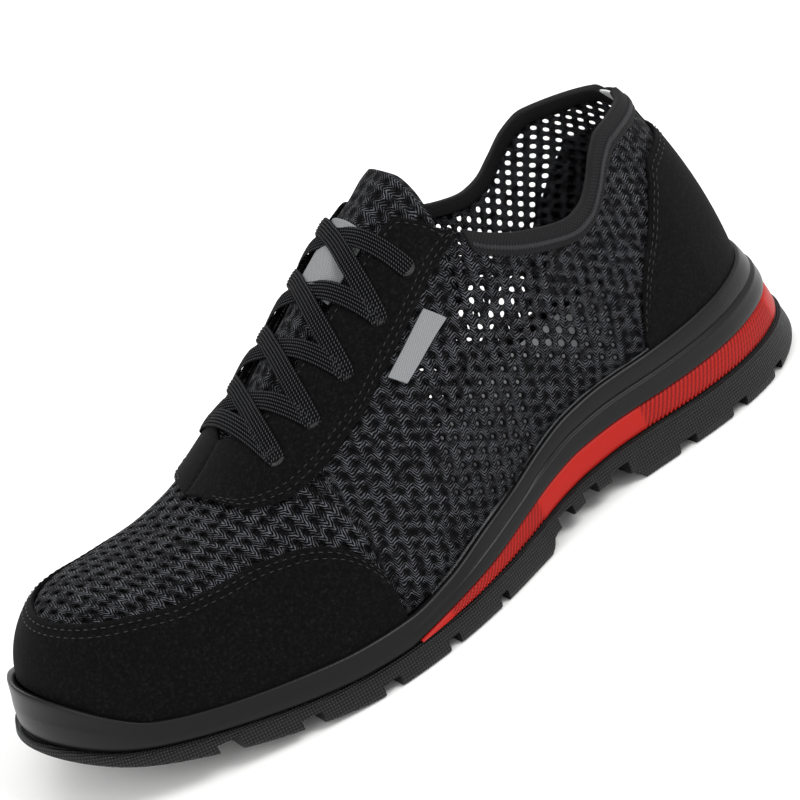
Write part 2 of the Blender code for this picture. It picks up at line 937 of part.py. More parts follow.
def build_eyelets(finish):
    base = skin_clearance + overlay_thickness + eyelet_seat
    top = base + eyelet_flange
    bottom = -upper_wall + 0.0001
    barrel = eyelet_bore + eyelet_wall
    profile = ((eyelet_bore, top), (eyelet_radius, top), (eyelet_radius, base), (barrel, base),
               (barrel, bottom), (eyelet_bore, bottom))
    for side in ("lateral", "medial"):
        for number, (_, _, centre, direction) in enumerate(eyelet_frames(side), start=1):
            bm = bmesh.new()
            corners = [bm.verts.new((radius, 0.0, height)) for radius, height in profile]
            edges = [bm.edges.new((corners[k - 1], corners[k])) for k in range(len(corners))]
            bmesh.ops.spin(bm, geom=corners + edges, cent=(0, 0, 0), axis=(0, 0, 1),
                           angle=2 * math.pi, steps=8, use_merge=True)
            bmesh.ops.transform(bm, matrix=turn_to(centre, direction), verts=bm.verts[:])
            add_object(f"eyelet_{side}_{number}", close(weld(bm)), finish)


def build_ribbon(name, start, end, level, sag=1.0, finish=None, cutter=False):
    """A flat lace from one eyelet to another, over the tongue."""
    steps = 12
    spare = 0.045
    flange_top = skin_clearance + overlay_thickness + eyelet_seat + eyelet_flange
    seat = flange_top + 3 * clearance + lace_thickness / 2
    here = -1.0 if start[0][0] == "lateral" else 1.0
    there = -1.0 if end[0][0] == "lateral" else 1.0

    def centre(f):
        station = start[0][1] + (end[0][1] - start[0][1]) * f
        across = here * (1 - start[1]) * (1 - f) + there * (1 - end[1]) * f
        place = ("lateral" if across <= 0 else "medial", station)
        middle = 1 - ease((abs(2 * f - 1) - 0.10) / 0.40)
        lift = seat + (lace_sag - seat) * middle * sag + level
        share = 1 - abs(across)
        return lifted(place, share, lift), normal(place, share)

    def corner(i, j):
        f = (1 + 2 * spare) * i / steps - spare
        spot, up = centre(f)
        ahead = (centre(f + 0.02)[0] - centre(f - 0.02)[0]).normalized()
        aside = up.cross(ahead).normalized()
        sideways = (-1, 1, 1, -1)[j % 4] * lace_width / 2
        upwards = (-1, -1, 1, 1)[j % 4] * lace_thickness / 2
        return spot + aside * sideways + up * upwards

    return add_object(name, close(weld(sheet(steps, 4, corner))), finish, cutter=cutter)


def build_laces(finish):
    lateral = [(("lateral", station), share) for station, share in eyelet_places]
    medial = [(("medial", station), share) for station, share in eyelet_places]
    over_level = lace_thickness * 0.8
    laces = build_ribbon("laces", lateral[0], medial[0], over_level / 2, 0.0, finish)
    for k in range(len(eyelet_places) - 1):
        under = build_ribbon(f"lace_under_{k + 1}", medial[k], lateral[k + 1], 0.0, cutter=True)
        over = build_ribbon(f"lace_over_{k + 1}", lateral[k], medial[k + 1], over_level,
                            cutter=True)
        cut(laces, under, "UNION")
        cut(laces, over, "UNION")
    return laces


def build():
    rubber = material("outsole_rubber", (0.035, 0.035, 0.036), 0.55)
    stripe = material("stripe_red_rubber", (0.56, 0.017, 0.011), 0.45)
    foam = material("midsole_black_rubber", (0.028, 0.028, 0.029), 0.42)
    lining = material("insole_fabric", (0.012, 0.012, 0.013), 0.9)
    knit = material("upper_knit_mesh", (0.010, 0.010, 0.011), 0.85)
    suede = material("overlay_suede", (0.006, 0.006, 0.006), 0.95)
    webbing = material("collar_webbing", (0.026, 0.026, 0.028), 0.8)
    label = material("label_grey_fabric", (0.23, 0.23, 0.23), 0.7)
    cord = material("lace_woven", (0.014, 0.014, 0.015), 0.8)
    metal = material("eyelet_black_metal", (0.02, 0.02, 0.02), 0.4, 0.6)
    build_outsole(rubber)
    build_stripe(stripe)
    build_midsole(foam)
    build_insole(lining)
    eyelet_cutter = build_eyelet_cutter()
    build_upper(knit, eyelet_cutter)
    build_toe_cap(suede)
    build_counter(suede)
    build_eyestay(suede, eyelet_cutter)
    build_binding(webbing)
    build_tongue(knit)
    build_label(label)
    build_side_tag(label)
    build_eyelets(metal)
    build_laces(cord)


build()
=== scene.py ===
# Low-cut safety sneaker, left shoe: the looks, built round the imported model.
# Toe along -X, heel along +X, lateral side along -Y, floor at z = 0, all in metres.
# A station is a share of the sole's length from the back of the heel; a share on the
# upper runs from the footbed (0) up to its crest (1).

import math
import random
from functools import lru_cache

import bmesh
import bpy
import numpy as np
from mathutils import Matrix, Vector


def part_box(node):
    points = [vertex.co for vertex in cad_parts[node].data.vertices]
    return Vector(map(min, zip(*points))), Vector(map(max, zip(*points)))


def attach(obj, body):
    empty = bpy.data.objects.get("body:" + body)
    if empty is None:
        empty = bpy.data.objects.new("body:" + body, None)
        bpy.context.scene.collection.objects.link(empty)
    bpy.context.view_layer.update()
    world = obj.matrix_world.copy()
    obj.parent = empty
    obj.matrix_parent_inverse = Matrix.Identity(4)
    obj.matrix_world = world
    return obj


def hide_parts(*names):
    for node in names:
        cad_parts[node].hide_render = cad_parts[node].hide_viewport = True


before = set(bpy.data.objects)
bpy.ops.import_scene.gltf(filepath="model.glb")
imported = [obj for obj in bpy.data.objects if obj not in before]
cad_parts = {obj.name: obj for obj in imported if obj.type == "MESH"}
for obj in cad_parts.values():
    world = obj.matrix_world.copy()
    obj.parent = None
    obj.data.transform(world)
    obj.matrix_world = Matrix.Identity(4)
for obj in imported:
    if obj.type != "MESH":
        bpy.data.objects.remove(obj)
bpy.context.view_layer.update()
print("frame loaded:", len(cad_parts), "nodes")

mm = 0.001

# The sole's size comes from the frame, the rest are the part's own sizes
soleLow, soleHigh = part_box("outsole")
soleLength = soleHigh.x - soleLow.x
ballWidth = soleHigh.y - soleLow.y
heelStack = 37.5 * mm
lugDepth = 3.0 * mm
rimLip = 2.6 * mm
rimInset = 4.5 * mm
heelFlare = 5.0 * mm
instepHeight = 114 * mm
toeHeight = 62.5 * mm
collarHeight = 108 * mm
collarDip = 89 * mm
eyestayHeight = 105.5 * mm
heelLean = 18 * mm
heelPinch = 0.08
heelNotch = 3.5 * mm
waistOverhang = 10 * mm
upperWall = 2.2 * mm
throatGap = 14 * mm
clearance = 0.3 * mm
heelFan = 0.125
toeFan = 0.830
collarFront = 0.392
throatEnd = 0.678
stripeEnd = 0.640
toeTipSide = 0.085

soleOutline = (
    # station, lateral, medial
    (0.030, 0.205, 0.185),
    (0.140, 0.345, 0.345),
    (0.270, 0.355, 0.318),
    (0.400, 0.368, 0.275),
    (0.520, 0.455, 0.325),
    (0.630, 0.500, 0.440),
    (0.720, 0.485, 0.497),
    (0.810, 0.420, 0.493),
    (0.890, 0.335, 0.447),
    (0.955, 0.215, 0.345),
)

# Underside of the sole, as shares of the heel stack.
treadLine = (
    # station, height
    (0.000, 0.100),
    (0.050, 0.035),
    (0.100, 0.000),
    (0.300, 0.000),
    (0.310, 0.100),
    (0.355, 0.170),
    (0.400, 0.150),
    (0.438, 0.120),
    (0.448, 0.000),
    (0.690, 0.000),
    (0.760, 0.055),
    (0.820, 0.130),
    (0.880, 0.235),
    (0.940, 0.360),
    (1.000, 0.540),
)

# Layers of the sole, as shares of the heel stack.
soleLayers = (
    # station, outsole top, stripe, footbed, rim
    (0.000, 0.35, 0.29, 0.83, 1.04),
    (0.100, 0.35, 0.27, 0.82, 1.01),
    (0.200, 0.36, 0.25, 0.81, 0.98),
    (0.300, 0.38, 0.24, 0.80, 0.97),
    (0.360, 0.36, 0.24, 0.75, 0.92),
    (0.410, 0.32, 0.22, 0.66, 0.82),
    (0.460, 0.27, 0.19, 0.57, 0.71),
    (0.520, 0.24, 0.13, 0.46, 0.62),
    (0.580, 0.22, 0.09, 0.37, 0.50),
    (0.640, 0.21, 0.028, 0.31, 0.43),
    (0.650, 0.21, 0.006, 0.31, 0.43),
    (0.700, 0.22, 0.006, 0.32, 0.44),
    (0.760, 0.26, 0.006, 0.35, 0.48),
    (0.820, 0.32, 0.006, 0.40, 0.53),
    (0.880, 0.39, 0.006, 0.46, 0.60),
    (0.940, 0.48, 0.006, 0.54, 0.74),
    (1.000, 0.62, 0.006, 0.67, 0.97),
)

# Grooves across the tread, as stations
treadGrooves = (
    # start, end
    (0.078, 0.096),
    (0.149, 0.173),
    (0.228, 0.252),
    (0.318, 0.345),
    (0.364, 0.385),
    (0.403, 0.427),
    (0.526, 0.539),
    (0.600, 0.616),
    (0.679, 0.700),
    (0.765, 0.787),
    (0.845, 0.868),
)

# Channels along the tread, under the ball and under the heel
treadChannels = (
    # station, length as a share of the sole, y
    (0.735, 0.36, 0.0),
    (0.735, 0.36, 22 * mm),
    (0.735, 0.30, -22 * mm),
    (0.15, 0.20, 0.0),
    (0.15, 0.18, 17 * mm),
    (0.15, 0.18, -17 * mm),
)

# Crest of the upper as shares of the instep and toe heights, and how square it is.
sections = (
    # station, of instep height, of toe height, width power, height power
    (0.000, 1.300, 0.000, 3.00, 2.40),
    (0.125, 1.300, 0.000, 3.00, 2.40),
    (0.250, 1.270, 0.000, 3.30, 2.40),
    (0.330, 1.160, 0.000, 3.20, 2.45),
    (0.390, 1.095, 0.000, 2.70, 2.40),
    (0.450, 1.040, 0.000, 2.25, 2.15),
    (0.500, 0.960, 0.000, 2.10, 2.05),
    (0.553, 0.865, 0.000, 2.00, 1.95),
    (0.607, 0.725, 0.080, 2.00, 1.90),
    (0.660, 0.500, 0.325, 2.05, 1.90),
    (0.740, 0.190, 0.665, 2.20, 2.05),
    (0.800, 0.045, 0.860, 2.50, 2.20),
    (0.850, 0.000, 0.940, 2.70, 2.30),
    (0.900, 0.000, 0.967, 2.80, 2.30),
    (0.950, 0.000, 0.960, 2.90, 2.40),
    (1.000, 0.000, 0.920, 2.90, 2.40),
)

overhangLine = (
    # station, share of the overhang
    (0.140, 0.00),
    (0.270, 0.40),
    (0.400, 0.90),
    (0.490, 1.00),
    (0.560, 0.80),
    (0.640, 0.25),
    (0.710, 0.00),
)

collarLine = (
    # station, heel rise, front rise
    (0.000, 1.00, 0.00),
    (0.125, 0.93, 0.00),
    (0.160, 0.72, 0.00),
    (0.195, 0.38, 0.00),
    (0.230, 0.10, 0.00),
    (0.265, 0.00, 0.04),
    (0.300, 0.00, 0.16),
    (0.335, 0.00, 0.36),
    (0.365, 0.00, 0.64),
    (0.392, 0.00, 1.00),
)

throatLine = (
    # station, half width
    (0.404, 1.60),
    (0.422, 1.26),
    (0.440, 1.00),
    (0.560, 0.96),
    (0.630, 0.86),
    (0.655, 0.68),
    (0.670, 0.38),
    (0.678, 0.10),
)

toeCapEdge = (
    # station, share
    (0.626, 0.05),
    (0.637, 0.17),
    (0.650, 0.27),
    (0.672, 0.37),
    (0.710, 0.47),
    (0.758, 0.54),
    (0.850, 0.58),
    (0.930, 0.60),
    (1.000, 0.63),
)

eyestayEdge = (
    # station, share
    (0.392, 0.535),
    (0.428, 0.538),
    (0.468, 0.527),
    (0.560, 0.527),
    (0.620, 0.546),
    (0.667, 0.576),
    (0.691, 0.623),
    (0.713, 0.704),
    (0.726, 0.830),
    (0.733, 0.930),
    (0.738, 1.000),
)

counterEdge = (
    # station, share
    (0.000, 0.80),
    (0.100, 0.76),
    (0.125, 0.68),
    (0.166, 0.56),
    (0.190, 0.50),
    (0.215, 0.38),
    (0.233, 0.22),
    (0.243, 0.06),
)

eyeletPlaces = (
    (0.662, 0.717),
    (0.614, 0.675),
    (0.562, 0.656),
    (0.506, 0.637),
    (0.456, 0.627),
)


# Reading a table's column by a smooth curve that never overshoots
def readColumn(table, column):
    xs = [row[0] for row in table]
    ys = [row[column] for row in table]
    steep = [(ys[k + 1] - ys[k]) / (xs[k + 1] - xs[k]) for k in range(len(xs) - 1)]
    slopes = [steep[0]]
    slopes += [0.0 if a * b <= 0 else 2 * a * b / (a + b) for a, b in zip(steep, steep[1:])]
    slopes += [steep[-1]]

    def read(station):
        if station <= xs[0]:
            return ys[0]
        if station >= xs[-1]:
            return ys[-1]
        k = 0
        while xs[k + 1] < station:
            k += 1
        h = xs[k + 1] - xs[k]
        f = (station - xs[k]) / h
        g = 1 - f
        return (ys[k] * (1 + 2 * f) * g * g + ys[k + 1] * (3 - 2 * f) * f * f
                + slopes[k] * h * f * g * g - slopes[k + 1] * h * f * f * g)

    return read


treadShare = readColumn(treadLine, 1)
outsoleShare, stripeShare, footbedShare, rimShare = [readColumn(soleLayers, k) for k in (1, 2, 3, 4)]
instepShare, toeShare, widthPower, heightPower = [readColumn(sections, k) for k in (1, 2, 3, 4)]
overhangShare = readColumn(overhangLine, 1)
heelRise, frontRise = readColumn(collarLine, 1), readColumn(collarLine, 2)
throatShare = readColumn(throatLine, 1)
capShare = readColumn(toeCapEdge, 1)
eyestayShare = readColumn(eyestayEdge, 1)
counterShare = readColumn(counterEdge, 1)


def ease(f):
    f = min(max(f, 0.0), 1.0)
    return f * f * (3 - 2 * f)


def xAt(station):
    return soleLength * (0.5 - station)


def stationAt(x):
    return 0.5 - x / soleLength


# The sole's outline: a closed cubic spline through the table
def outlineCurve(steps=40):
    rows = [(0.0, 0.0)]
    rows += [(station, -lateral) for station, lateral, medial in soleOutline]
    rows += [(1.0, toeTipSide)]
    rows += [(station, medial) for station, lateral, medial in reversed(soleOutline)]
    knots = np.array([(xAt(station), side * ballWidth) for station, side in rows])
    count = len(knots)
    ring = np.vstack([knots, knots[:1]])
    span = np.linalg.norm(np.diff(ring, axis=0), axis=1) ** 0.75
    matrix = np.zeros((count, count))
    right = np.zeros((count, 2))
    for i in range(count):
        before, after, following = span[i - 1], span[i], (i + 1) % count
        matrix[i, i - 1] += before
        matrix[i, i] += 2 * (before + after)
        matrix[i, following] += after
        right[i] = 6 * ((knots[following] - knots[i]) / after - (knots[i] - knots[i - 1]) / before)
    bend = np.linalg.solve(matrix, right)
    bend = np.vstack([bend, bend[:1]])
    curve = []
    for k in range(count):
        for f in np.linspace(0, 1, steps, endpoint=False):
            d, e = f * span[k], (1 - f) * span[k]
            curve.append((bend[k] * e ** 3 + bend[k + 1] * d ** 3) / (6 * span[k])
                         + (ring[k] / span[k] - bend[k] * span[k] / 6) * e
                         + (ring[k + 1] / span[k] - bend[k + 1] * span[k] / 6) * d)
    curve = np.array(curve)
    low, high = curve.min(axis=0), curve.max(axis=0)
    return (curve - (low + high) / 2) * np.array([soleLength, ballWidth]) / (high - low)


outline = outlineCurve()
outlineNext = np.roll(outline, -1, axis=0)


def reach(centre, heading):
    start, end = outline - centre, outlineNext - centre
    sideStart = start[:, 0] * heading[1] - start[:, 1] * heading[0]
    sideEnd = end[:, 0] * heading[1] - end[:, 1] * heading[0]
    farthest = 0.0
    for k in np.where(sideStart * sideEnd <= 0)[0]:
        if sideStart[k] != sideEnd[k]:
            f = sideStart[k] / (sideStart[k] - sideEnd[k])
            farthest = max(farthest, (start[k] + (end[k] - start[k]) * f) @ heading)
    return farthest


# A place on the outline: ("heel", angle), ("lateral", station), ("toe", angle) or ("medial", station)
def spineAt(station):
    f = ease((station - 0.35) / (toeFan - 0.35))
    return np.array([xAt(station), 0.045 * ballWidth * f])


def rayAt(place):
    kind, value = place
    if kind in ("heel", "toe"):
        angle = math.radians(value)
        return spineAt(heelFan if kind == "heel" else toeFan), np.array([math.cos(angle), math.sin(angle)])
    return spineAt(value), np.array([0.0, -1.0 if kind == "lateral" else 1.0])


def rimLine(station):
    return rimInset + heelFlare * max((0.25 - station) / 0.25, 0.0)


@lru_cache(maxsize=None)
def edgeOfSole(place):
    centre, heading = rayAt(place)
    distance = reach(centre, heading)
    return centre, heading, distance, stationAt((centre + heading * distance)[0])


@lru_cache(maxsize=None)
def footOfUpper(place):
    centre, heading, distance, station = edgeOfSole(place)
    radius = distance - rimLine(station) - rimLip - clearance
    station = stationAt((centre + heading * radius)[0])
    base = heelStack * footbedShare(station) + clearance
    return centre, heading, radius, station, base, widthPower(station), heightPower(station)


def crestAt(station):
    return instepHeight * instepShare(station) + toeHeight * toeShare(station)


def collarAt(place):
    station = place[1] if place[0] in ("lateral", "medial") else footOfUpper(place)[3]
    rise = heelRise(station) * (collarHeight - collarDip) + frontRise(station) * (eyestayHeight - collarDip)
    notch = 0.0
    if place[0] == "heel":
        notch = 1.6 * heelNotch * max(0.0, 1 - abs(place[1]) / 12)
    return collarDip + rise - notch


# Outer face of the upper
def skin(place, share):
    centre, heading, radius, station, base, across, upwards = footOfUpper(place)
    if place[0] == "medial":
        radius = radius + waistOverhang * overhangShare(station) * ease((share - 0.08) / 0.35)
    phi = min(max(share, 0.0), 1.0) * math.pi / 2
    spread = max(math.cos(phi), 0.0) ** (2 / across) if share < 1 else 0.0
    sx = centre[0] + heading[0] * radius * spread
    sy = centre[1] + heading[1] * radius * spread
    here = stationAt(sx)
    z = base + (crestAt(here) - base) * math.sin(phi) ** (2 / upwards)
    rise = (z - base) / (collarHeight - base)
    x = sx - heelLean * ease((0.36 - here) / 0.26) * rise ** 1.5
    pinch = 1 - heelPinch * ease((0.27 - here) / 0.15) * min(rise, 1.2) ** 1.5
    return Vector((x, centre[1] + (sy - centre[1]) * pinch, z))


def skinNormal(place, share):
    kind, value = place
    around = kind in ("heel", "toe")
    step = -0.5 if around else -0.002 if kind == "medial" else 0.002
    middle = min(max(share, 0.012), 0.980)
    upwards = skin(place, middle + 0.01) - skin(place, middle - 0.01)
    onwards = skin((kind, value + step), middle) - skin((kind, value - step), middle)
    out = upwards.cross(onwards)
    if share > 0.995:
        out.y = 0.0
        if around:
            out = Vector((0.0, 0.0, 1.0))
    return out.normalized()


def lifted(place, share, height):
    return skin(place, share) + skinNormal(place, share) * height


def shareAtHeight(place, height):
    low, high = 0.0, 1.0
    for _ in range(24):
        middle = (low + high) / 2
        if skin(place, middle).z < height:
            low = middle
        else:
            high = middle
    return (low + high) / 2


@lru_cache(maxsize=None)
def shareAtWidth(station, width):
    low, high = 0.0, 1.0
    centre = spineAt(station)[1]
    for _ in range(24):
        middle = (low + high) / 2
        if centre - skin(("lateral", station), middle).y > width:
            low = middle
        else:
            high = middle
    return (low + high) / 2


@lru_cache(maxsize=None)
def topShare(place):
    kind, value = place
    if kind == "toe" or (kind != "heel" and value > throatEnd):
        return 1.0
    if kind == "heel" or value <= collarFront:
        return shareAtHeight(place, collarAt(place))
    return shareAtWidth(value, throatGap * throatShare(value))


# Places once round the shoe, evenly spaced along the sole's edge
def spread(start, stop, count):
    return [start + (stop - start) * k / count for k in range(count)]


def ringPlaces(spacing):
    heelCount = max(6, round(94 * mm / spacing / 2))
    sideCount = max(12, round(211 * mm / spacing))
    toeCount = max(12, round(150 * mm / spacing))
    places = [("heel", angle) for angle in spread(0, -90, heelCount)]
    places += [("lateral", station) for station in spread(heelFan, toeFan, sideCount)]
    places += [("toe", angle) for angle in spread(-90, -270, toeCount)]
    places += [("medial", station) for station in spread(toeFan, heelFan, sideCount)]
    places += [("heel", angle) for angle in spread(90, 0, heelCount)]
    return places + [("heel", 0.0)]


# Places from one side round the toe to the other, from a station on
def toePlaces(start, sideCount, toeCount):
    straight = [start + k * (toeFan - start) / sideCount for k in range(sideCount)]
    places = [("lateral", s) for s in straight]
    places += [("toe", -90 - 180 * k / toeCount) for k in range(toeCount)]
    places += [("medial", s) for s in reversed(straight + [toeFan])]
    return places


# Places from one side round the heel to the other, as far forward as a station
def heelPlaces(end, sideCount, heelCount):
    straight = [heelFan + k * (end - heelFan) / sideCount for k in range(1, sideCount + 1)]
    places = [("medial", s) for s in reversed(straight)]
    places += [("heel", 90 - 180 * k / heelCount) for k in range(heelCount + 1)]
    places += [("lateral", s) for s in straight]
    return places


# The length along a line of points, up to each of them
def runningLength(points):
    lengths = [0.0]
    for before, after in zip(points, points[1:]):
        lengths.append(lengths[-1] + (after - before).length)
    return lengths


# Objects and meshes
def newObject(name, bm, material, angle=40):
    mesh = bpy.data.meshes.new(name)
    bm.to_mesh(mesh)
    bm.free()
    made = bpy.data.objects.new(name, mesh)
    bpy.context.scene.collection.objects.link(made)
    mesh.materials.append(material)
    mesh.shade_smooth()
    mesh.set_sharp_from_angle(angle=math.radians(angle))
    return made


# A grid whose vertex (i, j) goes to point(i, j), with its own UV map in millimetres
def gridSheet(columns, rows, point, uv=None):
    bm = bmesh.new()
    bmesh.ops.create_grid(bm, x_segments=columns, y_segments=rows, size=0.5)
    spots = {}
    for vertex in bm.verts:
        spot = (round((vertex.co.x + 0.5) * columns), round((vertex.co.y + 0.5) * rows))
        vertex.co = point(*spot)
        spots[vertex] = spot
    if uv:
        layer = bm.loops.layers.uv.new("surface")
        for face in bm.faces:
            for loop in face.loops:
                loop[layer].uv = uv(*spots[loop.vert])
    bmesh.ops.reverse_faces(bm, faces=bm.faces[:])
    return bm


def weld(bm):
    bmesh.ops.remove_doubles(bm, verts=bm.verts[:], dist=1e-6)
    bmesh.ops.dissolve_degenerate(bm, edges=bm.edges[:], dist=1e-7)
    return bm


def close(bm):
    ends = [edge for edge in bm.edges if edge.is_boundary]
    if ends:
        bmesh.ops.holes_fill(bm, edges=ends, sides=0)
    bmesh.ops.recalc_face_normals(bm, faces=bm.faces[:])
    return bm


def addWall(thing, thickness, offset):
    wall = thing.modifiers.new("wall", "SOLIDIFY")
    wall.thickness = thickness
    wall.offset = offset
    wall.use_even_offset = False
    return thing


def addBevel(thing, width, segments=2, angle=40):
    bevel = thing.modifiers.new("edges", "BEVEL")
    bevel.width = width
    bevel.segments = segments
    bevel.limit_method = "ANGLE"
    bevel.angle_limit = math.radians(angle)
    return thing


def subdivide(thing, levels):
    smoothing = thing.modifiers.new("smooth", "SUBSURF")
    smoothing.levels = levels
    smoothing.render_levels = levels
    return thing


def place(thing, slot, *nodes):
    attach(thing, "root")
    if nodes:
        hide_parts(*nodes)
    return thing


# Materials
def hexColour(code):
    def linear(value):
        value /= 255
        return value / 12.92 if value <= 0.04045 else ((value + 0.055) / 1.055) ** 2.4

    return tuple(linear(int(code[k:k + 2], 16)) for k in (1, 3, 5)) + (1.0,)


def addNode(material, kind, settings=None, links=None):
    tree = material.node_tree
    node = tree.nodes.new(kind)
    for key, value in (settings or {}).items():
        if key in node.inputs:
            node.inputs[key].default_value = value
        else:
            setattr(node, key, value)
    for key, source in (links or {}).items():
        tree.links.new(source, node.inputs[key])
    return node


def newMaterial(name, colour, roughness, metallic=0.0, **more):
    material = bpy.data.materials.new(name)
    material.use_nodes = True
    shader = material.node_tree.nodes["Principled BSDF"]
    shader.inputs["Base Color"].default_value = hexColour(colour)
    shader.inputs["Roughness"].default_value = roughness
    shader.inputs["Metallic"].default_value = metallic
    for key, value in more.items():
        shader.inputs[key.replace("_", " ")].default_value = value
    return material


# Sole
solePiece = {
    "spacing": 1.5 * mm,
    "stripeRecess": 0.9 * mm,
    "grooveDepth": 1.1 * mm,
    "lugDepth": 4.2 * mm,
    "channelWidth": 3.2 * mm,
    "printPitch": 2.0,  # in UV millimetres
    "toeBumper": 5.5 * mm,
    "ribPitch": 1.8 * mm,
    "ribDepth": 0.45 * mm,
    "ribRake": 10.4 * mm,
    "ribSpans": ((0.045, 0.283), (0.436, 0.600)),
    "insoleThickness": 3.0 * mm,
}


def sideLean(place, heightShare):
    return rimLine(edgeOfSole(place)[3]) * max(heightShare, 0.0) ** 1.3


def treadHeight(station):
    return heelStack * treadShare(station)


def outsoleTop(station):
    return heelStack * outsoleShare(station)


def stripeTop(station):
    return heelStack * (outsoleShare(station) + stripeShare(station))


def footbedHeight(station):
    return heelStack * footbedShare(station)


def rimHeight(station):
    return heelStack * rimShare(station) + solePiece["toeBumper"] * ease((station - 0.905) / 0.075)


# The length along the sole's edge, up to each place
def travelAlong(places):
    travel = [0.0]
    for before, after in zip(places, places[1:]):
        a, b = edgeOfSole(before), edgeOfSole(after)
        step = (a[0] + a[1] * a[2]) - (b[0] + b[1] * b[2])
        travel.append(travel[-1] + float(np.hypot(step[0], step[1])))
    return travel


@lru_cache(maxsize=None)
def edgeTravel(spacing):
    return travelAlong(ringPlaces(spacing))


# A layer of the sole. Each row holds (inset, height, radial share); its UV runs along and up, in mm.
def soleLayer(name, places, rows, travel, material, angle=40, ownUv=None):
    def point(i, j):
        centre, heading, distance, _ = edgeOfSole(places[i])
        inset, height, radial = rows[j]
        full = distance - inset(places[i])
        spot = centre + heading * full * radial
        return Vector((spot[0], spot[1], height(stationAt(spot[0]))))

    def uv(i, j):
        return travel[i] * 1000, point(i, j).z * 1000 + (1 - rows[j][2]) * 40

    bm = gridSheet(len(places) - 1, len(rows) - 1, point, ownUv or uv)
    return newObject(name, close(weld(bm)), material, angle=angle)


def inward(share, extra=0.0):
    return lambda place: sideLean(place, share) + extra


def between(low, high, share):
    return lambda s: low(s) + share * (high(s) - low(s))


def addBox(bm, middle, size):
    box = bmesh.ops.create_cube(bm, size=1.0)["verts"]
    bmesh.ops.transform(bm, matrix=Matrix.LocRotScale(Vector(middle), None, Vector(size)), verts=box)


inner = (0.0, 0.3, 0.6, 0.8, 0.93)


def makeOutsole(material):
    places = ringPlaces(solePiece["spacing"])
    under = inward(0.0, 1.8 * mm)
    rows = [(under, treadHeight, f) for f in inner]
    rows += [
        (under, treadHeight, 1.0),
        (inward(0.0, 0.9 * mm), between(treadHeight, outsoleTop, 0.03), 1.0),
        (inward(0.0, 0.3 * mm), between(treadHeight, outsoleTop, 0.10), 1.0),
        (inward(0.0), between(treadHeight, outsoleTop, 0.22), 1.0),
        (inward(0.08), between(treadHeight, outsoleTop, 0.42), 1.0),
        (inward(0.17), between(treadHeight, outsoleTop, 0.62), 1.0),
        (inward(0.25), between(treadHeight, outsoleTop, 0.82), 1.0),
        (inward(0.28), between(treadHeight, outsoleTop, 0.90), 1.0),
        (inward(0.285, -0.25 * mm), between(treadHeight, outsoleTop, 0.925), 1.0),
        (inward(0.30, -0.25 * mm), between(treadHeight, outsoleTop, 0.985), 1.0),
        (inward(0.30, 0.1 * mm), outsoleTop, 1.0),
    ]
    rows += [(inward(0.3), outsoleTop, f) for f in reversed(inner)]
    outsole = soleLayer("outsole_moulded", places, rows, edgeTravel(solePiece["spacing"]), material, 30)
    below = heelStack * 0.3
    bm = bmesh.new()
    for first, last in treadGrooves:
        roof = treadHeight((first + last) / 2) + solePiece["lugDepth"]
        middle = (xAt((first + last) / 2), 0.0, (roof - below) / 2)
        addBox(bm, middle, (soleLength * (last - first), ballWidth * 1.3, roof + below))
    for station, long, y in treadChannels:
        roof = treadHeight(station) + lugDepth * 0.8
        middle = (xAt(station), y, (roof - below) / 2)
        addBox(bm, middle, (soleLength * long, solePiece["channelWidth"], roof + below))
    cutterMesh = bpy.data.meshes.new("treadCutter")
    bm.to_mesh(cutterMesh)
    bm.free()
    cutter = bpy.data.objects.new("treadCutter", cutterMesh)
    bpy.context.scene.collection.objects.link(cutter)
    applyBoolean(outsole, cutter)
    outsole.data.set_sharp_from_angle(angle=math.radians(30))
    return place(outsole, "outsole_rubber", "outsole")


# Cuts once, keeps the result in the mesh and removes the cutter
def applyBoolean(thing, cutter):
    boolean = thing.modifiers.new("cut", "BOOLEAN")
    boolean.operation = "DIFFERENCE"
    boolean.solver = "EXACT"
    boolean.use_self = True
    boolean.object = cutter
    graph = bpy.context.evaluated_depsgraph_get()
    mesh = bpy.data.meshes.new_from_object(thing.evaluated_get(graph))
    thing.modifiers.clear()
    old, thing.data = thing.data, mesh
    bpy.data.meshes.remove(old)
    mesh.name = thing.name
    bpy.data.objects.remove(cutter, do_unlink=True)


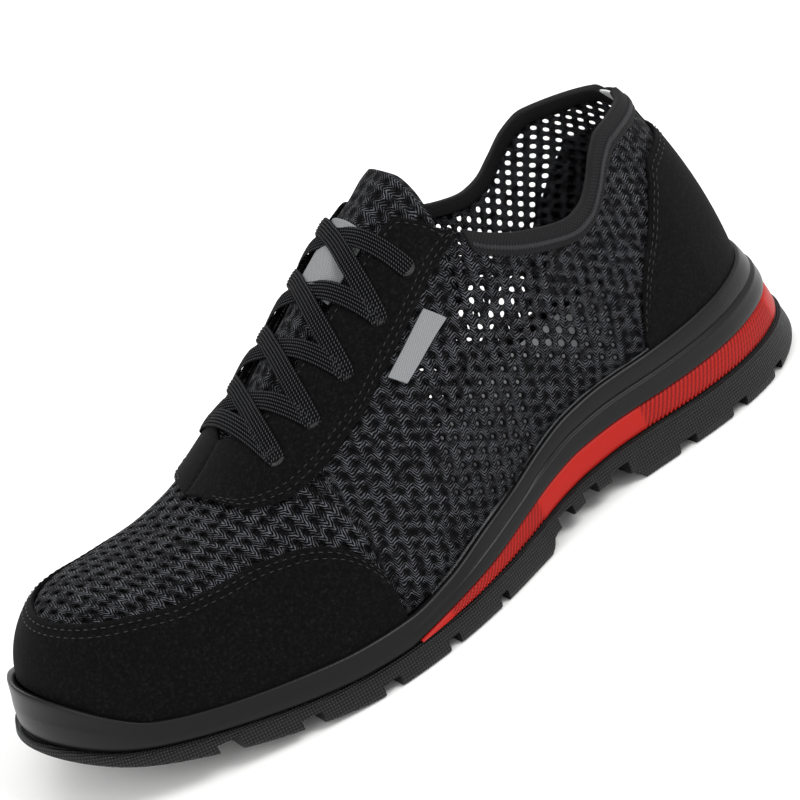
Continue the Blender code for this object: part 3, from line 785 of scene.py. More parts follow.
def makeStripe(material):
    pitch = solePiece["ribPitch"]
    straight = [heelFan + (stripeEnd - heelFan) * k / 1500 for k in range(1501)]
    around = [90 - k * 0.5 for k in range(1, 360)]
    places = [("medial", s) for s in reversed(straight)]
    places += [("heel", angle) for angle in around]
    places += [("lateral", s) for s in straight]
    travel = travelAlong(places)
    recess = solePiece["stripeRecess"]
    rake = solePiece["ribRake"]

    def ribAt(spot, share):
        station = edgeOfSole(spot)[3]
        shown = 0.0
        for first, last in solePiece["ribSpans"]:
            shown = max(shown, ease((station - first) / 0.008) * ease((last - station) / 0.008))
        side = 1.0 if spot[0] == "lateral" or (spot[0] == "heel" and spot[1] < 0) else -1.0
        return (travelOf[spot] + side * rake * share * 0.5) / pitch, shown

    def ribInset(share, edge):
        def inset(spot):
            phase, shown = ribAt(spot, share)
            wave = 0.5 - 0.5 * math.cos(2 * math.pi * phase)
            lean = sideLean(spot, 0.32 + 0.26 * share)
            return lean + recess * edge + solePiece["ribDepth"] * shown * wave ** 0.6
        return inset

    travelOf = dict(zip(places, travel))

    def bottom(station):
        return outsoleTop(station) + clearance

    height = [0.0, 0.07, 0.22, 0.38, 0.54, 0.70, 0.86, 0.95, 1.0]
    edges = [2.2, 1.0, 0.5, 0.42, 0.4, 0.42, 0.5, 1.0, 2.2]
    rows = [(inward(0.32, recess), bottom, f) for f in (0.0, 0.55)]
    rows += [(ribInset(h, e), between(bottom, stripeTop, h), 1.0) for h, e in zip(height, edges)]
    rows += [(inward(0.58, recess), stripeTop, f) for f in (0.55, 0.0)]
    heights = [0.0, 0.0] + height + [1.0, 1.0]
    # The stripe's UV map holds each rib's phase and how far the ribs show, for the painted shade in their
    # grooves
    stripe = soleLayer("midsole_red_layer", places, rows, travel, material, 50,
                       lambda i, j: ribAt(places[i], heights[j]))
    return place(stripe, "stripe_red_rubber", "midsole_stripe")


def makeMidsole(material):
    spacing = solePiece["spacing"]
    places = ringPlaces(spacing)

    def bottom(station):
        return stripeTop(station) + clearance

    def up(share):
        return between(bottom, rimHeight, share)

    def groove(share, depth):
        def inset(place):
            station = edgeOfSole(place)[3]
            here = 0.30 + 0.70 * ease((0.46 - station) / 0.06)
            here *= ease((0.60 - station) / 0.10)
            return sideLean(place, share) + depth * here
        return inset

    def lip(width):
        return lambda place: rimLine(edgeOfSole(place)[3]) + width

    deep = solePiece["grooveDepth"]
    rows = [(inward(0.58), bottom, f) for f in (0.0, 0.55, 0.9)]
    rows += [
        (inward(0.575, 0.3 * mm), bottom, 1.0),
        (inward(0.585, 0.05 * mm), up(0.04), 1.0),
        (inward(0.61, -0.1 * mm), up(0.14), 1.0),
        (inward(0.66, -0.1 * mm), up(0.28), 1.0),
        (inward(0.71, -0.05 * mm), up(0.40), 1.0),
        (groove(0.73, -0.15 * mm), up(0.455), 1.0),
        (groove(0.74, 0.1 * mm), up(0.475), 1.0),
        (groove(0.76, deep), up(0.50), 1.0),
        (groove(0.78, deep), up(0.53), 1.0),
        (groove(0.80, 0.25 * mm), up(0.56), 1.0),
        (groove(0.83, 0.0), up(0.60), 1.0),
        (groove(0.90, 0.0), up(0.75), 1.0),
        (groove(0.955, 0.0), up(0.86), 1.0),
        (lip(-0.05 * mm), up(0.93), 1.0),
        (lip(rimLip * 0.10), up(0.98), 1.0),
        (lip(rimLip * 0.28), rimHeight, 1.0),
        (lip(rimLip * 0.50), lambda s: rimHeight(s) + 0.05 * mm, 1.0),
        (lip(rimLip * 0.75), lambda s: rimHeight(s) - 0.1 * mm, 1.0),
        (lip(rimLip * 0.93), lambda s: rimHeight(s) - 0.5 * mm, 1.0),
        (lip(rimLip), lambda s: rimHeight(s) - 1.2 * mm, 1.0),
        (lip(rimLip), footbedHeight, 1.0),
    ]
    rows += [(lip(rimLip), footbedHeight, f) for f in (0.9, 0.55, 0.0)]
    midsole = soleLayer("midsole_moulded", places, rows, edgeTravel(spacing), material, 60)
    return place(midsole, "midsole_black_rubber", "midsole")


def makeInsole(material):
    spacing = solePiece["spacing"]
    places = ringPlaces(spacing * 2)

    def edge(extra):
        def inset(place):
            return rimLine(edgeOfSole(place)[3]) + rimLip + upperWall + 3 * clearance + extra
        return inset

    def bottom(station):
        return footbedHeight(station) + clearance

    def top(drop):
        return lambda s: bottom(s) + solePiece["insoleThickness"] - drop

    rows = [(edge(0.0), bottom, f) for f in (0.0, 0.55, 1.0)]
    rows += [(edge(0.0), top(0.8 * mm), 1.0), (edge(0.3 * mm), top(0.2 * mm), 1.0)]
    rows += [(edge(1.0 * mm), top(0.0), 1.0)]
    rows += [(edge(1.0 * mm), top(0.0), f) for f in (0.8, 0.5, 0.25, 0.0)]
    insole = soleLayer("sock_insole", places, rows, edgeTravel(spacing * 2), material, 40)
    return place(insole, "insole_fabric", "insole")


# Knit upper: an open knit of yarns round real holes, with a dark lining under the vamp alone
knitPiece = {
    "liningDepth": 1.1 * mm,
    "liningStart": 0.600,
    "fibresPerCell": 4.0,
    "knitThickness": 1.1 * mm,
    # The step from one cell to the next, across or down: along the wall, and down it
    "quarterAcross": (4.34 * mm, 2.70 * mm),
    "quarterDown": (-0.96 * mm, 4.29 * mm),
    "innerAcross": (4.00 * mm, 2.50 * mm),
    "innerDown": (-2.00 * mm, 3.50 * mm),
    # The medial side's rows of cells change to wider holes, then to dots, below these
    "innerLow": -8.0,
    "innerEnd": 0.0,
    "innerWide": 0.13,
    # Where the lateral side is open, in cells: top, bottom, front and back
    "wideRows": (-12.6, -4.6, 2.6, 11.9),
    "greyRows": (-12.6, -3.6, 2.6, 14.6),
    "smallRows": (-5.6, 6.0, -1.4, 7.2),
    "vampAlong": (3.71 * mm, -0.25 * mm),
    "vampAcross": (1.84 * mm, -6.59 * mm),
    "level": 60 * mm,  # rows of cells are level with each other at this height
    "closedTop": 4.5 * mm,
    "closedFront": -18 * mm,
    # How far a hole's edge stands in from its cell's: a larger share leaves a smaller hole
    "openShare": 0.22,
    "innerShare": 0.215,
    "dotShare": 0.365,
    "vampShare": 0.34,
    "seamAt": -42 * mm,
}


# Arc length down a section of the upper, from its top edge or its crest
@lru_cache(maxsize=None)
def sectionTable(spot, fromTop):
    top = topShare(spot) if fromTop else 1.0
    shares = [top * k / 60 for k in range(60, -1, -1)]
    spots = [skin(spot, share) for share in shares]
    return shares, runningLength(spots)


# How far up the sole's rim hides the upper
@lru_cache(maxsize=None)
def aboveRim(spot):
    return shareAtHeight(spot, rimHeight(footOfUpper(spot)[3]) - 0.4 * mm)


# Reads a value between the columns of a table that are kept at every 2 mm
def betweenColumns(read, travel):
    k = math.floor(travel / (2 * mm))
    f = travel / (2 * mm) - k
    return read(k) * (1 - f) + read(k + 1) * f


# A side's place at a travel: x along the wall, then on round the heel
heelTurn = 46 * mm


def sidePlace(side, travel):
    start = xAt(heelFan)
    if travel <= start:
        return side, stationAt(travel)
    angle = 90 * (1 - min((travel - start) / heelTurn, 1.0))
    return "heel", -angle if side == "lateral" else angle


def makeLining(material):
    places = toePlaces(knitPiece["liningStart"], 40, 60)
    rows = 26

    def point(i, j):
        spot = places[i]
        return lifted(spot, topShare(spot) * (j / rows) ** 0.9, -knitPiece["liningDepth"])

    bm = weld(gridSheet(len(places) - 1, rows, point, lambda i, j: (i * 2.0, j * 2.0)))
    lining = newObject("vamp_lining", bm, material)
    addWall(lining, 0.8 * mm, -1.0)
    return place(lining, "upper_knit_mesh", "upper")


# A sheet of knit from a lattice of cells, each opened by an inset and rounded off
def knitSheet(cells, point, openShare):
    (a0, a1), (b0, b1) = cells
    bm = bmesh.new()
    bmesh.ops.create_grid(bm, x_segments=a1 - a0, y_segments=b1 - b0, size=0.5)
    uvLayer = bm.loops.layers.uv.new("surface")
    for vertex in bm.verts:
        vertex.co.x = a0 + (vertex.co.x + 0.5) * (a1 - a0)
        vertex.co.y = b0 + (vertex.co.y + 0.5) * (b1 - b0)
    groups = {}
    gone = []
    for face in bm.faces:
        centre = face.calc_center_median()
        kind = openShare(centre.x, centre.y)
        if kind is None:
            gone.append(face)
        else:
            groups.setdefault(kind, []).append(face)
    bmesh.ops.delete(bm, geom=gone, context="FACES")
    for share, faces in groups.items():
        if share:
            bmesh.ops.inset_individual(bm, faces=faces, thickness=share, depth=0.0, use_even_offset=True)
            bmesh.ops.delete(bm, geom=faces, context="FACES")
    for face in bm.faces:
        for loop in face.loops:
            loop[uvLayer].uv = loop.vert.co.x, loop.vert.co.y
    for vertex in bm.verts:
        vertex.co = point(vertex.co.x, vertex.co.y)
    bmesh.ops.recalc_face_normals(bm, faces=bm.faces[:])
    return bm


# Turns a sheet so that its faces look away from the shoe's middle line
def faceOutwards(bm):
    inside = 0
    for face in bm.faces:
        centre = face.calc_center_median()
        inside += 1 if face.normal.dot(centre - Vector((centre.x * 0.7, 0, 0.03))) < 0 else -1
    if inside > 0:
        bmesh.ops.reverse_faces(bm, faces=bm.faces[:])
    return bm


def finishKnit(name, bm, material, levels=2):
    knit = newObject(name, faceOutwards(bm), material, angle=180)
    addWall(knit, knitPiece["knitThickness"], -1.0)
    subdivide(knit, levels)
    return place(knit, "upper_knit_mesh", "upper")


# The quarters, from the vamp's seam back round the heel: travel, and length down from a level line
def makeQuarter(side, material):
    ax, aw = knitPiece["quarterAcross" if side == "lateral" else "innerAcross"]
    bx, bw = knitPiece["quarterDown" if side == "lateral" else "innerDown"]
    seam = knitPiece["seamAt"]
    last = xAt(heelFan) + heelTurn

    def held(travel):
        return min(max(travel, seam), last)

    @lru_cache(maxsize=None)
    def column(k):
        spot = sidePlace(side, held(k * 2 * mm))
        shares, lengths = sectionTable(spot, True)
        level = shareAtHeight(spot, knitPiece["level"])
        return shares, lengths, float(np.interp(-level, [-share for share in shares], lengths))

    @lru_cache(maxsize=None)
    def lowest(k):
        return aboveRim(sidePlace(side, held(k * 2 * mm)))

    def flat(a, b):
        return a * ax + b * bx, a * aw + b * bw

    def fromTop(travel, w):
        return w + betweenColumns(lambda k: column(k)[2], held(travel))

    def spotOf(travel, w):
        down = max(fromTop(travel, w), 0.3 * mm)
        travel = held(travel)
        share = betweenColumns(lambda k: float(np.interp(down, column(k)[1], column(k)[0])), travel)
        return sidePlace(side, travel), max(share, betweenColumns(lowest, travel))

    def point(a, b):
        spot, share = spotOf(*flat(a, b))
        return lifted(spot, share, 0.15 * mm)

    def openShare(a, b):
        travel, w = flat(a, b)
        if not seam - 2.4 * mm < travel < last + 2.4 * mm or fromTop(travel, w) < -2.5 * mm:
            return None
        spot, share = spotOf(travel, w)
        low = betweenColumns(lowest, held(travel)) + 1e-6
        if share <= low and spotOf(travel, w - 3.2 * mm)[1] <= low:
            return None
        if fromTop(travel, w) < knitPiece["closedTop"] or travel < knitPiece["closedFront"]:
            return 0.0
        if side == "medial":
            rows = ((knitPiece["innerLow"], "innerShare"), (knitPiece["innerEnd"], "innerWide"))
            return next((knitPiece[share] for end, share in rows if b < end), knitPiece["dotShare"])
        # Open holes below the collar, smaller ones ahead of them and further down, none elsewhere
        top, bottom, front, back = knitPiece["wideRows"]
        if top < b < bottom and front < a < back:
            return knitPiece["openShare"]
        for rows in ("greyRows", "smallRows"):
            top, bottom, front, back = knitPiece[rows]
            if top < b < bottom and front < a < back:
                return knitPiece["dotShare"]
        return 0.0

    bm = knitSheet(((-16, 42), (-44, 24)), point, openShare)
    return finishKnit("knit_quarter_" + side, bm, material, 2 if side == "lateral" else 1)


# The vamp, in length along x and across from the spine, polar ahead of the toe's middle
def makeVamp(material):
    ax, ay = knitPiece["vampAlong"]
    bx, by = knitPiece["vampAcross"]
    fan = spineAt(toeFan)
    seam = knitPiece["seamAt"] + 1.0 * mm

    @lru_cache(maxsize=None)
    def sideColumn(side, k):
        return sectionTable((side, stationAt(k * 2 * mm)), False)

    @lru_cache(maxsize=None)
    def toeColumn(k):
        return sectionTable(("toe", float(min(max(-270 + k * 2, -269.9), -90.1))), False)

    def spotOf(x, v):
        ahead = fan[0] - x
        if ahead > 0:
            angle = math.degrees(math.atan2(v, -ahead))
            angle = min(max(angle - 360 if angle > 0 else angle, -269.9), -90.1)
            k = math.floor((angle + 270) / 2)
            f = (angle + 270) / 2 - k
            length = math.hypot(ahead, v)
            shares = [float(np.interp(length, toeColumn(n)[1], toeColumn(n)[0])) for n in (k, k + 1)]
            return ("toe", angle), shares[0] * (1 - f) + shares[1] * f
        side = "medial" if v > 0 else "lateral"

        def shareIn(k):
            shares, lengths = sideColumn(side, k)
            return float(np.interp(abs(v), lengths, shares))

        return (side, stationAt(x)), betweenColumns(shareIn, x)

    def flat(a, b):
        return a * ax + b * bx + fan[0], a * ay + b * by

    def point(a, b):
        x, v = flat(a, b)
        spot, share = spotOf(min(x, seam), v)
        share = max(share, aboveRim(spot))
        if spot[0] != "toe":
            share = min(share, topShare(spot))
        return lifted(spot, share, 0.05 * mm)

    def openShare(a, b):
        x, v = flat(a, b)
        if x > seam + 2.5 * mm:
            return None
        spot, share = spotOf(min(x, seam), v)
        if spot[0] == "toe":
            return None if share < 0.46 else knitPiece["vampShare"]
        if share > topShare(spot) + 0.03 or share < aboveRim(spot) - 0.04 or abs(v) > 82 * mm:
            return None
        if spot[1] > 0.75 and share < 0.40:
            return None
        return knitPiece["vampShare"]

    bm = knitSheet(((-26, 40), (-18, 18)), point, openShare)
    return finishKnit("knit_vamp", bm, material)


# A pale cloth tab that shows in the notch at the heel's top
def makeHeelTab(material):
    def point(i, j):
        spot = ("heel", -8 + 16 * i / 8)
        top = topShare(("heel", 20.0))
        return lifted(spot, top - 0.10 + 0.10 * j / 10, -0.9 * mm)

    bm = gridSheet(8, 10, point, lambda i, j: (i * 0.6, j * 0.9))
    tab = newObject("heel_tab", faceOutwards(bm), material, angle=180)
    addWall(tab, 0.6 * mm, -1.0)
    return place(tab, "label_grey_fabric")


# Grey cloth inside the heel counter
def makeHeelLining(material):
    places = heelPlaces(overlayPiece["counterEnd"], 16, 48)
    rows = 20

    def point(i, j):
        spot = places[i]
        return lifted(spot, 0.02 + (counterTop(spot) * 0.62 - 0.02) * j / rows, -1.4 * mm)

    bm = weld(gridSheet(len(places) - 1, rows, point, lambda i, j: (i * 2.0, j * 2.4)))
    lining = newObject("heel_lining", bm, material)
    addWall(lining, 0.7 * mm, -1.0)
    return place(lining, "insole_fabric", "upper")


# A woven tape that covers the knit's join down the back
def makeBackTape(material):
    rows, across = 30, 10

    def point(i, j):
        spot = ("heel", -9 + 18 * i / across)
        low = aboveRim(spot)
        high = topShare(("heel", 16.0)) - 0.01
        edge = abs(2 * i / across - 1)
        return lifted(spot, low + (high - low) * j / rows, 1.25 * mm - 0.3 * mm * edge ** 4)

    bm = gridSheet(across, rows, point, lambda i, j: (i * 0.9, j * 2.0))
    bmesh.ops.reverse_faces(bm, faces=bm.faces[:])
    tape = newObject("heel_seam_tape", faceOutwards(bm), material, angle=180)
    addWall(tape, 0.8 * mm, -1.0)
    return place(tape, "collar_webbing")


# Suede and other pieces that lie on the upper
overlayPiece = {
    "thickness": 1.2 * mm,
    "base": 0.45 * mm,
    "stitchLength": 2.0 * mm,
    "stitchGap": 0.75 * mm,
    "stitchWidth": 0.42 * mm,
    "rowGap": 2.2 * mm,
    "capStart": 0.640,
    "counterEnd": 0.236,
    "eyestayEnd": 0.738,
}


# A padded sheet on the upper between two lines of shares, thinner towards its edges
def overlayAt(name, places, rows, low, high, material, height, slot, node):
    count = len(places) - 1

    def point(i, j, lift):
        spot = places[i]
        bottom, top = low(spot), high(spot)
        return lifted(spot, bottom + (top - bottom) * j / rows, lift)

    travel = runningLength([point(i, rows // 2, 0) for i in range(count + 1)])

    def outer(i, j):
        return point(i, j, overlayPiece["base"] + height(places[i], j / rows))

    bm = weld(gridSheet(count, rows, outer, lambda i, j: (travel[i] * 1000, j * 30 / rows)))
    made = newObject(name, bm, material, angle=180)
    addWall(made, overlayPiece["thickness"] * 0.8, -1.0)
    addBevel(made, 0.35 * mm, 3, 50)
    return place(made, slot, node)


# Rows of stitches that lie in a line on the surface, each a small rounded bead
def stitchRow(bm, spots, length=None, gap=None, width=None, sink=0.0):
    length = length or overlayPiece["stitchLength"]
    gap = gap or overlayPiece["stitchGap"]
    width = width or overlayPiece["stitchWidth"]
    travel = runningLength([spot[0] for spot in spots])
    positions = np.array([spot[0] for spot in spots])
    normals = np.array([spot[1] for spot in spots])

    def at(distance):
        centre = Vector([float(np.interp(distance, travel, positions[:, k])) for k in range(3)])
        up = Vector([float(np.interp(distance, travel, normals[:, k])) for k in range(3)])
        return centre, up.normalized()

    distance = gap
    while distance + length < travel[-1]:
        (start, _), (end, _) = at(distance), at(distance + length)
        centre, up = at(distance + length / 2)
        along = end - start
        if along.length > 1e-6:
            along.normalize()
            side = up.cross(along).normalized()
            up = along.cross(side)
            turn = Matrix((along, side, up)).transposed().to_4x4()
            size = Matrix.Diagonal((length / 2, width / 2, width * 0.40, 1.0))
            bmesh.ops.create_icosphere(bm, subdivisions=1, radius=1.0,
                                       matrix=Matrix.Translation(centre - up * sink) @ turn @ size)
        distance += length + gap


# The line at a distance inside an edge given as places and shares
def insetLine(places, shareAt, inward, height):
    line = []
    for spot in places:
        share = shareAt(spot)
        base = skin(spot, share)
        stepShare = 0.02
        ahead, behind = skin(spot, min(share + stepShare, 1.0)), skin(spot, share - stepShare)
        slope = (ahead - behind).length / (2 * stepShare)
        moved = min(max(share + inward / max(slope, 1e-4), 0.0), 1.0)
        up = skinNormal(spot, moved)
        line.append((skin(spot, moved) + up * height, up))
    return line


def capEdge(spot):
    station = footOfUpper(spot)[3] if spot[0] == "toe" else spot[1]
    return capShare(station)


def makeToeCap(material):
    places = toePlaces(overlayPiece["capStart"], 48, 96)

    def height(spot, f):
        edge = ease((1 - f) / 0.06)
        puff = 0.35 * mm * math.sin(math.pi * min(f, 1)) ** 0.7
        ridge = 0.25 * mm * math.exp(-((f - 0.90) / 0.035) ** 2)
        return overlayPiece["thickness"] * (0.75 + 0.25 * edge) + puff - ridge

    return overlayAt("toe_cap_suede", places, 40, aboveRim, capEdge, material, height,
                     "overlay_suede", "toe_cap")


def counterTop(spot):
    station = footOfUpper(spot)[3] if spot[0] == "heel" else spot[1]
    base = footbedHeight(footOfUpper(spot)[3])
    # The counter's top doesn't follow the collar into its notch at the back
    beside = (spot[0], spot[1] + 30) if spot[0] == "heel" and abs(spot[1]) < 14 else spot
    return shareAtHeight(spot, base + counterShare(station) * (collarAt(beside) - base))


def makeCounter(material):
    def height(spot, f):
        edge = ease((1 - f) / 0.08)
        return overlayPiece["thickness"] * (0.8 + 0.2 * edge) + 0.4 * mm * math.sin(math.pi * f) ** 0.8

    places = heelPlaces(overlayPiece["counterEnd"], 20, 60)
    return overlayAt("heel_counter_suede", places, 36, aboveRim, counterTop, material, height,
                     "overlay_suede", "heel_counter")


def eyestayPlaces(count=72):
    end = overlayPiece["eyestayEnd"]
    return [collarFront + (end - collarFront) * k / count for k in range(count + 1)]


def throatEdge(spot):
    return topShare(spot) - 0.004 if spot[1] <= throatEnd else 1.0


# One side's face of the eyestay, with its counts of columns and rows
def eyestayFace(side):
    places = [(side, s) for s in eyestayPlaces()]

    def height(spot, f):
        roll = ease(f / 0.10) * ease((1 - f) / 0.06)
        trough = 0.22 * mm * math.exp(-((f - 0.86) / 0.05) ** 2) if spot[1] < throatEnd - 0.02 else 0.0
        return overlayPiece["thickness"] * (0.8 + 0.2 * roll) - trough + 0.15 * mm * math.sin(math.pi * f)

    count, rows = len(places) - 1, 26

    def outer(i, j):
        spot = places[i]
        low, high = eyestayShare(spot[1]), throatEdge(spot)
        share = low + (high - low) * j / rows
        return lifted(spot, share, overlayPiece["base"] + height(spot, j / rows))

    return outer, count, rows


def makeEyestays(material):
    merged = bmesh.new()
    for side in ("lateral", "medial"):
        outer, count, rows = eyestayFace(side)
        travel = runningLength([outer(i, rows // 2) for i in range(count + 1)])
        bm = gridSheet(count, rows, outer, lambda i, j: (travel[i] * 1000, j * 0.9))
        if side == "medial":
            bmesh.ops.reverse_faces(bm, faces=bm.faces[:])
        spare = bpy.data.meshes.new("eyestayHalf")
        bm.to_mesh(spare)
        bm.free()
        merged.from_mesh(spare)
        bpy.data.meshes.remove(spare)
    made = newObject("eyestay_suede", weld(merged), material, angle=180)
    addWall(made, overlayPiece["thickness"] * 0.8, -1.0)
    addBevel(made, 0.35 * mm, 3, 50)
    return place(made, "overlay_suede", "eyestay")


# Two rows of stitches inside the edges of the suede, and one along the throat
def makeStitches(material):
    bm = bmesh.new()
    onSuede = overlayPiece["base"] + overlayPiece["thickness"] + 0.10 * mm
    near, far = -2.0 * mm, -2.0 * mm - overlayPiece["rowGap"]
    capLine = toePlaces(overlayPiece["capStart"], 60, 120)
    counterLine = heelPlaces(overlayPiece["counterEnd"], 30, 90)
    for inward in (near, far):
        stitchRow(bm, insetLine(capLine, capEdge, inward, onSuede + 0.15 * mm))
        stitchRow(bm, insetLine(counterLine, counterTop, inward, onSuede + 0.1 * mm))
    for side in ("lateral", "medial"):
        places = [(side, s) for s in eyestayPlaces(120) if s < 0.728]
        for inward in (2.0 * mm, 2.0 * mm + overlayPiece["rowGap"]):
            stitchRow(bm, insetLine(places, lambda spot: eyestayShare(spot[1]), inward, onSuede))
        along = [(side, s) for s in eyestayPlaces(120) if s < throatEnd - 0.006]
        stitchRow(bm, insetLine(along, throatEdge, -2.0 * mm, onSuede))
    made = newObject("suede_stitches", bm, material, angle=180)
    return place(made, "overlay_suede")


# Collar: a padded knitted band round the edge, thicker inside
collarPiece = {
    "thickness": 0.75 * mm,
    "drop": 7.0 * mm,
    "inside": -1.4 * mm,
    "pad": 0.5 * mm,
    "padDrop": 4.5 * mm,
    "end": 0.385,
}


def makeCollar(material):
    count = 56
    places = heelPlaces(collarPiece["end"], count, count)
    near = overlayPiece["base"]
    far = near + collarPiece["thickness"]
    pad, inside = collarPiece["pad"], collarPiece["inside"]

    def section(spot):
        top = topShare(spot)
        edge = skin(spot, top)
        out = skinNormal(spot, top)
        up = (edge - skin(spot, top - 0.02)).normalized()

        def below(drop, falls):
            return [shareAtHeight(spot, edge.z - collarPiece[drop] * f) for f in falls]

        lows = below("drop", (1.0, 0.94, 0.7, 0.45, 0.2))
        inLows = below("padDrop", (1.0, 0.9, 0.7, 0.45, 0.2))
        return [
            lifted(spot, lows[0], near),
            lifted(spot, lows[0], near + 0.75 * collarPiece["thickness"]),
            lifted(spot, lows[1], far - 0.05 * mm),
            lifted(spot, lows[2], far + 0.10 * mm),
            lifted(spot, lows[3], far + 0.12 * mm),
            lifted(spot, lows[4], far + 0.02 * mm),
            edge + out * (far - 0.10 * mm) + up * far * 0.40,
            edge + out * (far - 0.45 * mm) + up * far * 0.80,
            edge + out * (inside / 2) + up * far * 0.95,
            edge + out * (inside - 0.5 * pad) + up * far * 0.75,
            edge + out * (inside - 0.85 * pad) + up * far * 0.30,
            lifted(spot, inLows[4], inside - pad),
            lifted(spot, inLows[3], inside - pad),
            lifted(spot, inLows[2], inside - 0.85 * pad),
            lifted(spot, inLows[1], inside - 0.5 * pad),
            lifted(spot, inLows[0], inside - 0.1 * mm),
            edge + out * inside + up * near,
            edge + out * near + up * near,
        ]

    rings = [section(spot) for spot in places]
    around = len(rings[0])
    travel = runningLength([ring[8] for ring in rings])
    bm = gridSheet(len(places) - 1, around, lambda i, j: rings[i][j % around],
                   lambda i, j: (travel[i] * 1000, j * 1.3))
    collar = newObject("collar_knit_band", close(weld(bm)), material, angle=60)
    subdivide(collar, 1)
    return place(collar, "collar_webbing", "collar_binding")


# Zigzag sewing on the collar's band
def makeCollarSewing(material):
    bm = bmesh.new()
    places = heelPlaces(collarPiece["end"], 160, 160)
    line = []
    step = 0
    for spot in places[2:-2]:
        top = topShare(spot)
        edgeZ = skin(spot, top).z
        wave = 0.42 if step % 2 else 0.76
        share = shareAtHeight(spot, edgeZ - collarPiece["drop"] * wave)
        up = skinNormal(spot, share)
        height = overlayPiece["base"] + collarPiece["thickness"] + 0.28 * mm
        line.append((skin(spot, share) + up * height, up))
        step += 1
    for before, after in zip(line, line[1:]):
        length = (after[0] - before[0]).length * 0.9
        stitchRow(bm, [before, after], length=length, gap=0.05 * mm, width=0.5 * mm)
    made = newObject("collar_zigzag_sewing", bm, material, angle=180)
    return place(made, "collar_webbing")


# Tongue: padded knit, crowned between its edges and full at its top
tonguePiece = {
    "width": 25 * mm,
    "thickness": 4.2 * mm,
    "puff": 2.0 * mm,
    "under": 1.7 * mm,
    "start": 0.399,
    "end": 0.690,
    "topRoll": 1.6 * mm,
}


def tongueFace(station, width, height=0.0):
    spot = ("lateral" if width <= 0 else "medial", station)
    gap = throatGap * min(throatShare(station), 1.0)
    puff = tonguePiece["puff"] * ease((gap - 1 * mm - abs(width)) / (0.6 * throatGap))
    depth = puff - tonguePiece["under"]
    return lifted(spot, shareAtWidth(station, abs(width)), depth + height)


def makeTongue(material):
    rows, across = ((96, 64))

    def spotOf(i, j):
        f, g = i / rows, 2 * j / across - 1
        start = tonguePiece["start"] + 0.016 * abs(g) ** 5
        station = start + (tonguePiece["end"] - start) * f
        wide = 1.10 + 0.10 * ease((0.435 - station) / 0.03) - 0.08 * ease((station - 0.42) / 0.10)
        wide -= 0.22 * ease((station - 0.58) / 0.10)
        return station, tonguePiece["width"] * wide * g, f, g

    def point(i, j):
        station, width, f, g = spotOf(i, j)
        roll = tonguePiece["topRoll"] * (ease(f / 0.02) * ease((0.16 - f) / 0.12) - ease((0.02 - f) / 0.02))
        return tongueFace(station, width, roll * (1 - 0.5 * g * g))

    def uv(i, j):
        station, width, f, g = spotOf(i, j)
        return station * 300 / 4.2, width * 1000 / 4.2

    bm = weld(gridSheet(rows, across, point, uv))
    tongue = newObject("tongue_padded_knit", bm, material, angle=180)
    addWall(tongue, tonguePiece["thickness"], -1.0)
    addBevel(tongue, 1.6 * mm, 4, 50)
    return place(tongue, "upper_knit_mesh", "tongue")


labelPiece = {
    "low": 0.464,
    "high": 0.533,
    "halfWidth": 11.4 * mm,
}


# A blank woven label on the tongue, with a raised rim
def makeLabel(material):
    low, high, half = [labelPiece[k] for k in ("low", "high", "halfWidth")]
    rows, across = 40, 28

    def point(i, j):
        f, g = i / rows, 2 * j / across - 1
        edge = max(abs(g), abs(2 * f - 1))
        rib = 0.25 * mm * ease((edge - 0.86) / 0.10)
        lines = 0.15 * mm * (math.exp(-((f - 0.10) / 0.012) ** 2) + math.exp(-((f - 0.14) / 0.012) ** 2))
        return tongueFace(low + (high - low) * f, half * g, 0.75 * mm + rib + lines)

    bm = weld(gridSheet(rows, across, point, lambda i, j: (i * 0.6, j * 0.8)))
    label = newObject("tongue_label_blank", bm, material, angle=180)
    addWall(label, 0.8 * mm, -1.0)
    addBevel(label, 0.3 * mm, 3, 50)
    return place(label, "label_grey_fabric", "tongue_label")


# The corners hold a station and a share of the way up the side
tagPiece = {
    "topBack": (0.463, 0.502),
    "lowBack": (0.446, 0.424),
    "lowFront": (0.519, 0.445),
    "topFront": (0.532, 0.508),
}


# A blank woven tag beside the eyestay
def makeSideTag(material):
    topBack, lowBack = tagPiece["topBack"], tagPiece["lowBack"]
    lowFront, topFront = tagPiece["lowFront"], tagPiece["topFront"]
    rows, across = 18, 28

    def point(i, j):
        f, g = i / across, j / rows
        top = [a + (b - a) * f for a, b in zip(topBack, topFront)]
        low = [a + (b - a) * f for a, b in zip(lowBack, lowFront)]
        station, share = [a + (b - a) * g for a, b in zip(low, top)]
        edge = max(abs(2 * g - 1), abs(2 * f - 1) - 0.06)
        rib = 0.22 * mm * ease((edge - 0.80) / 0.12)
        return lifted(("lateral", station), share, overlayPiece["base"] + 0.8 * mm + rib)

    bm = gridSheet(across, rows, point, lambda i, j: (i * 0.8, j * 0.45))
    tag = newObject("side_tag_blank", bm, material, angle=180)
    addWall(tag, 0.8 * mm, -1.0)
    addBevel(tag, 0.25 * mm, 3, 50)
    return place(tag, "label_grey_fabric", "side_tag")


# Eyelets: rolled black metal rims
eyeletPiece = {
    "radius": 3.1 * mm,
    "bore": 1.6 * mm,
    "wall": 0.6 * mm,
}


def turnTo(centre, direction):
    return Matrix.Translation(centre) @ direction.to_track_quat("Z", "Y").to_matrix().to_4x4()


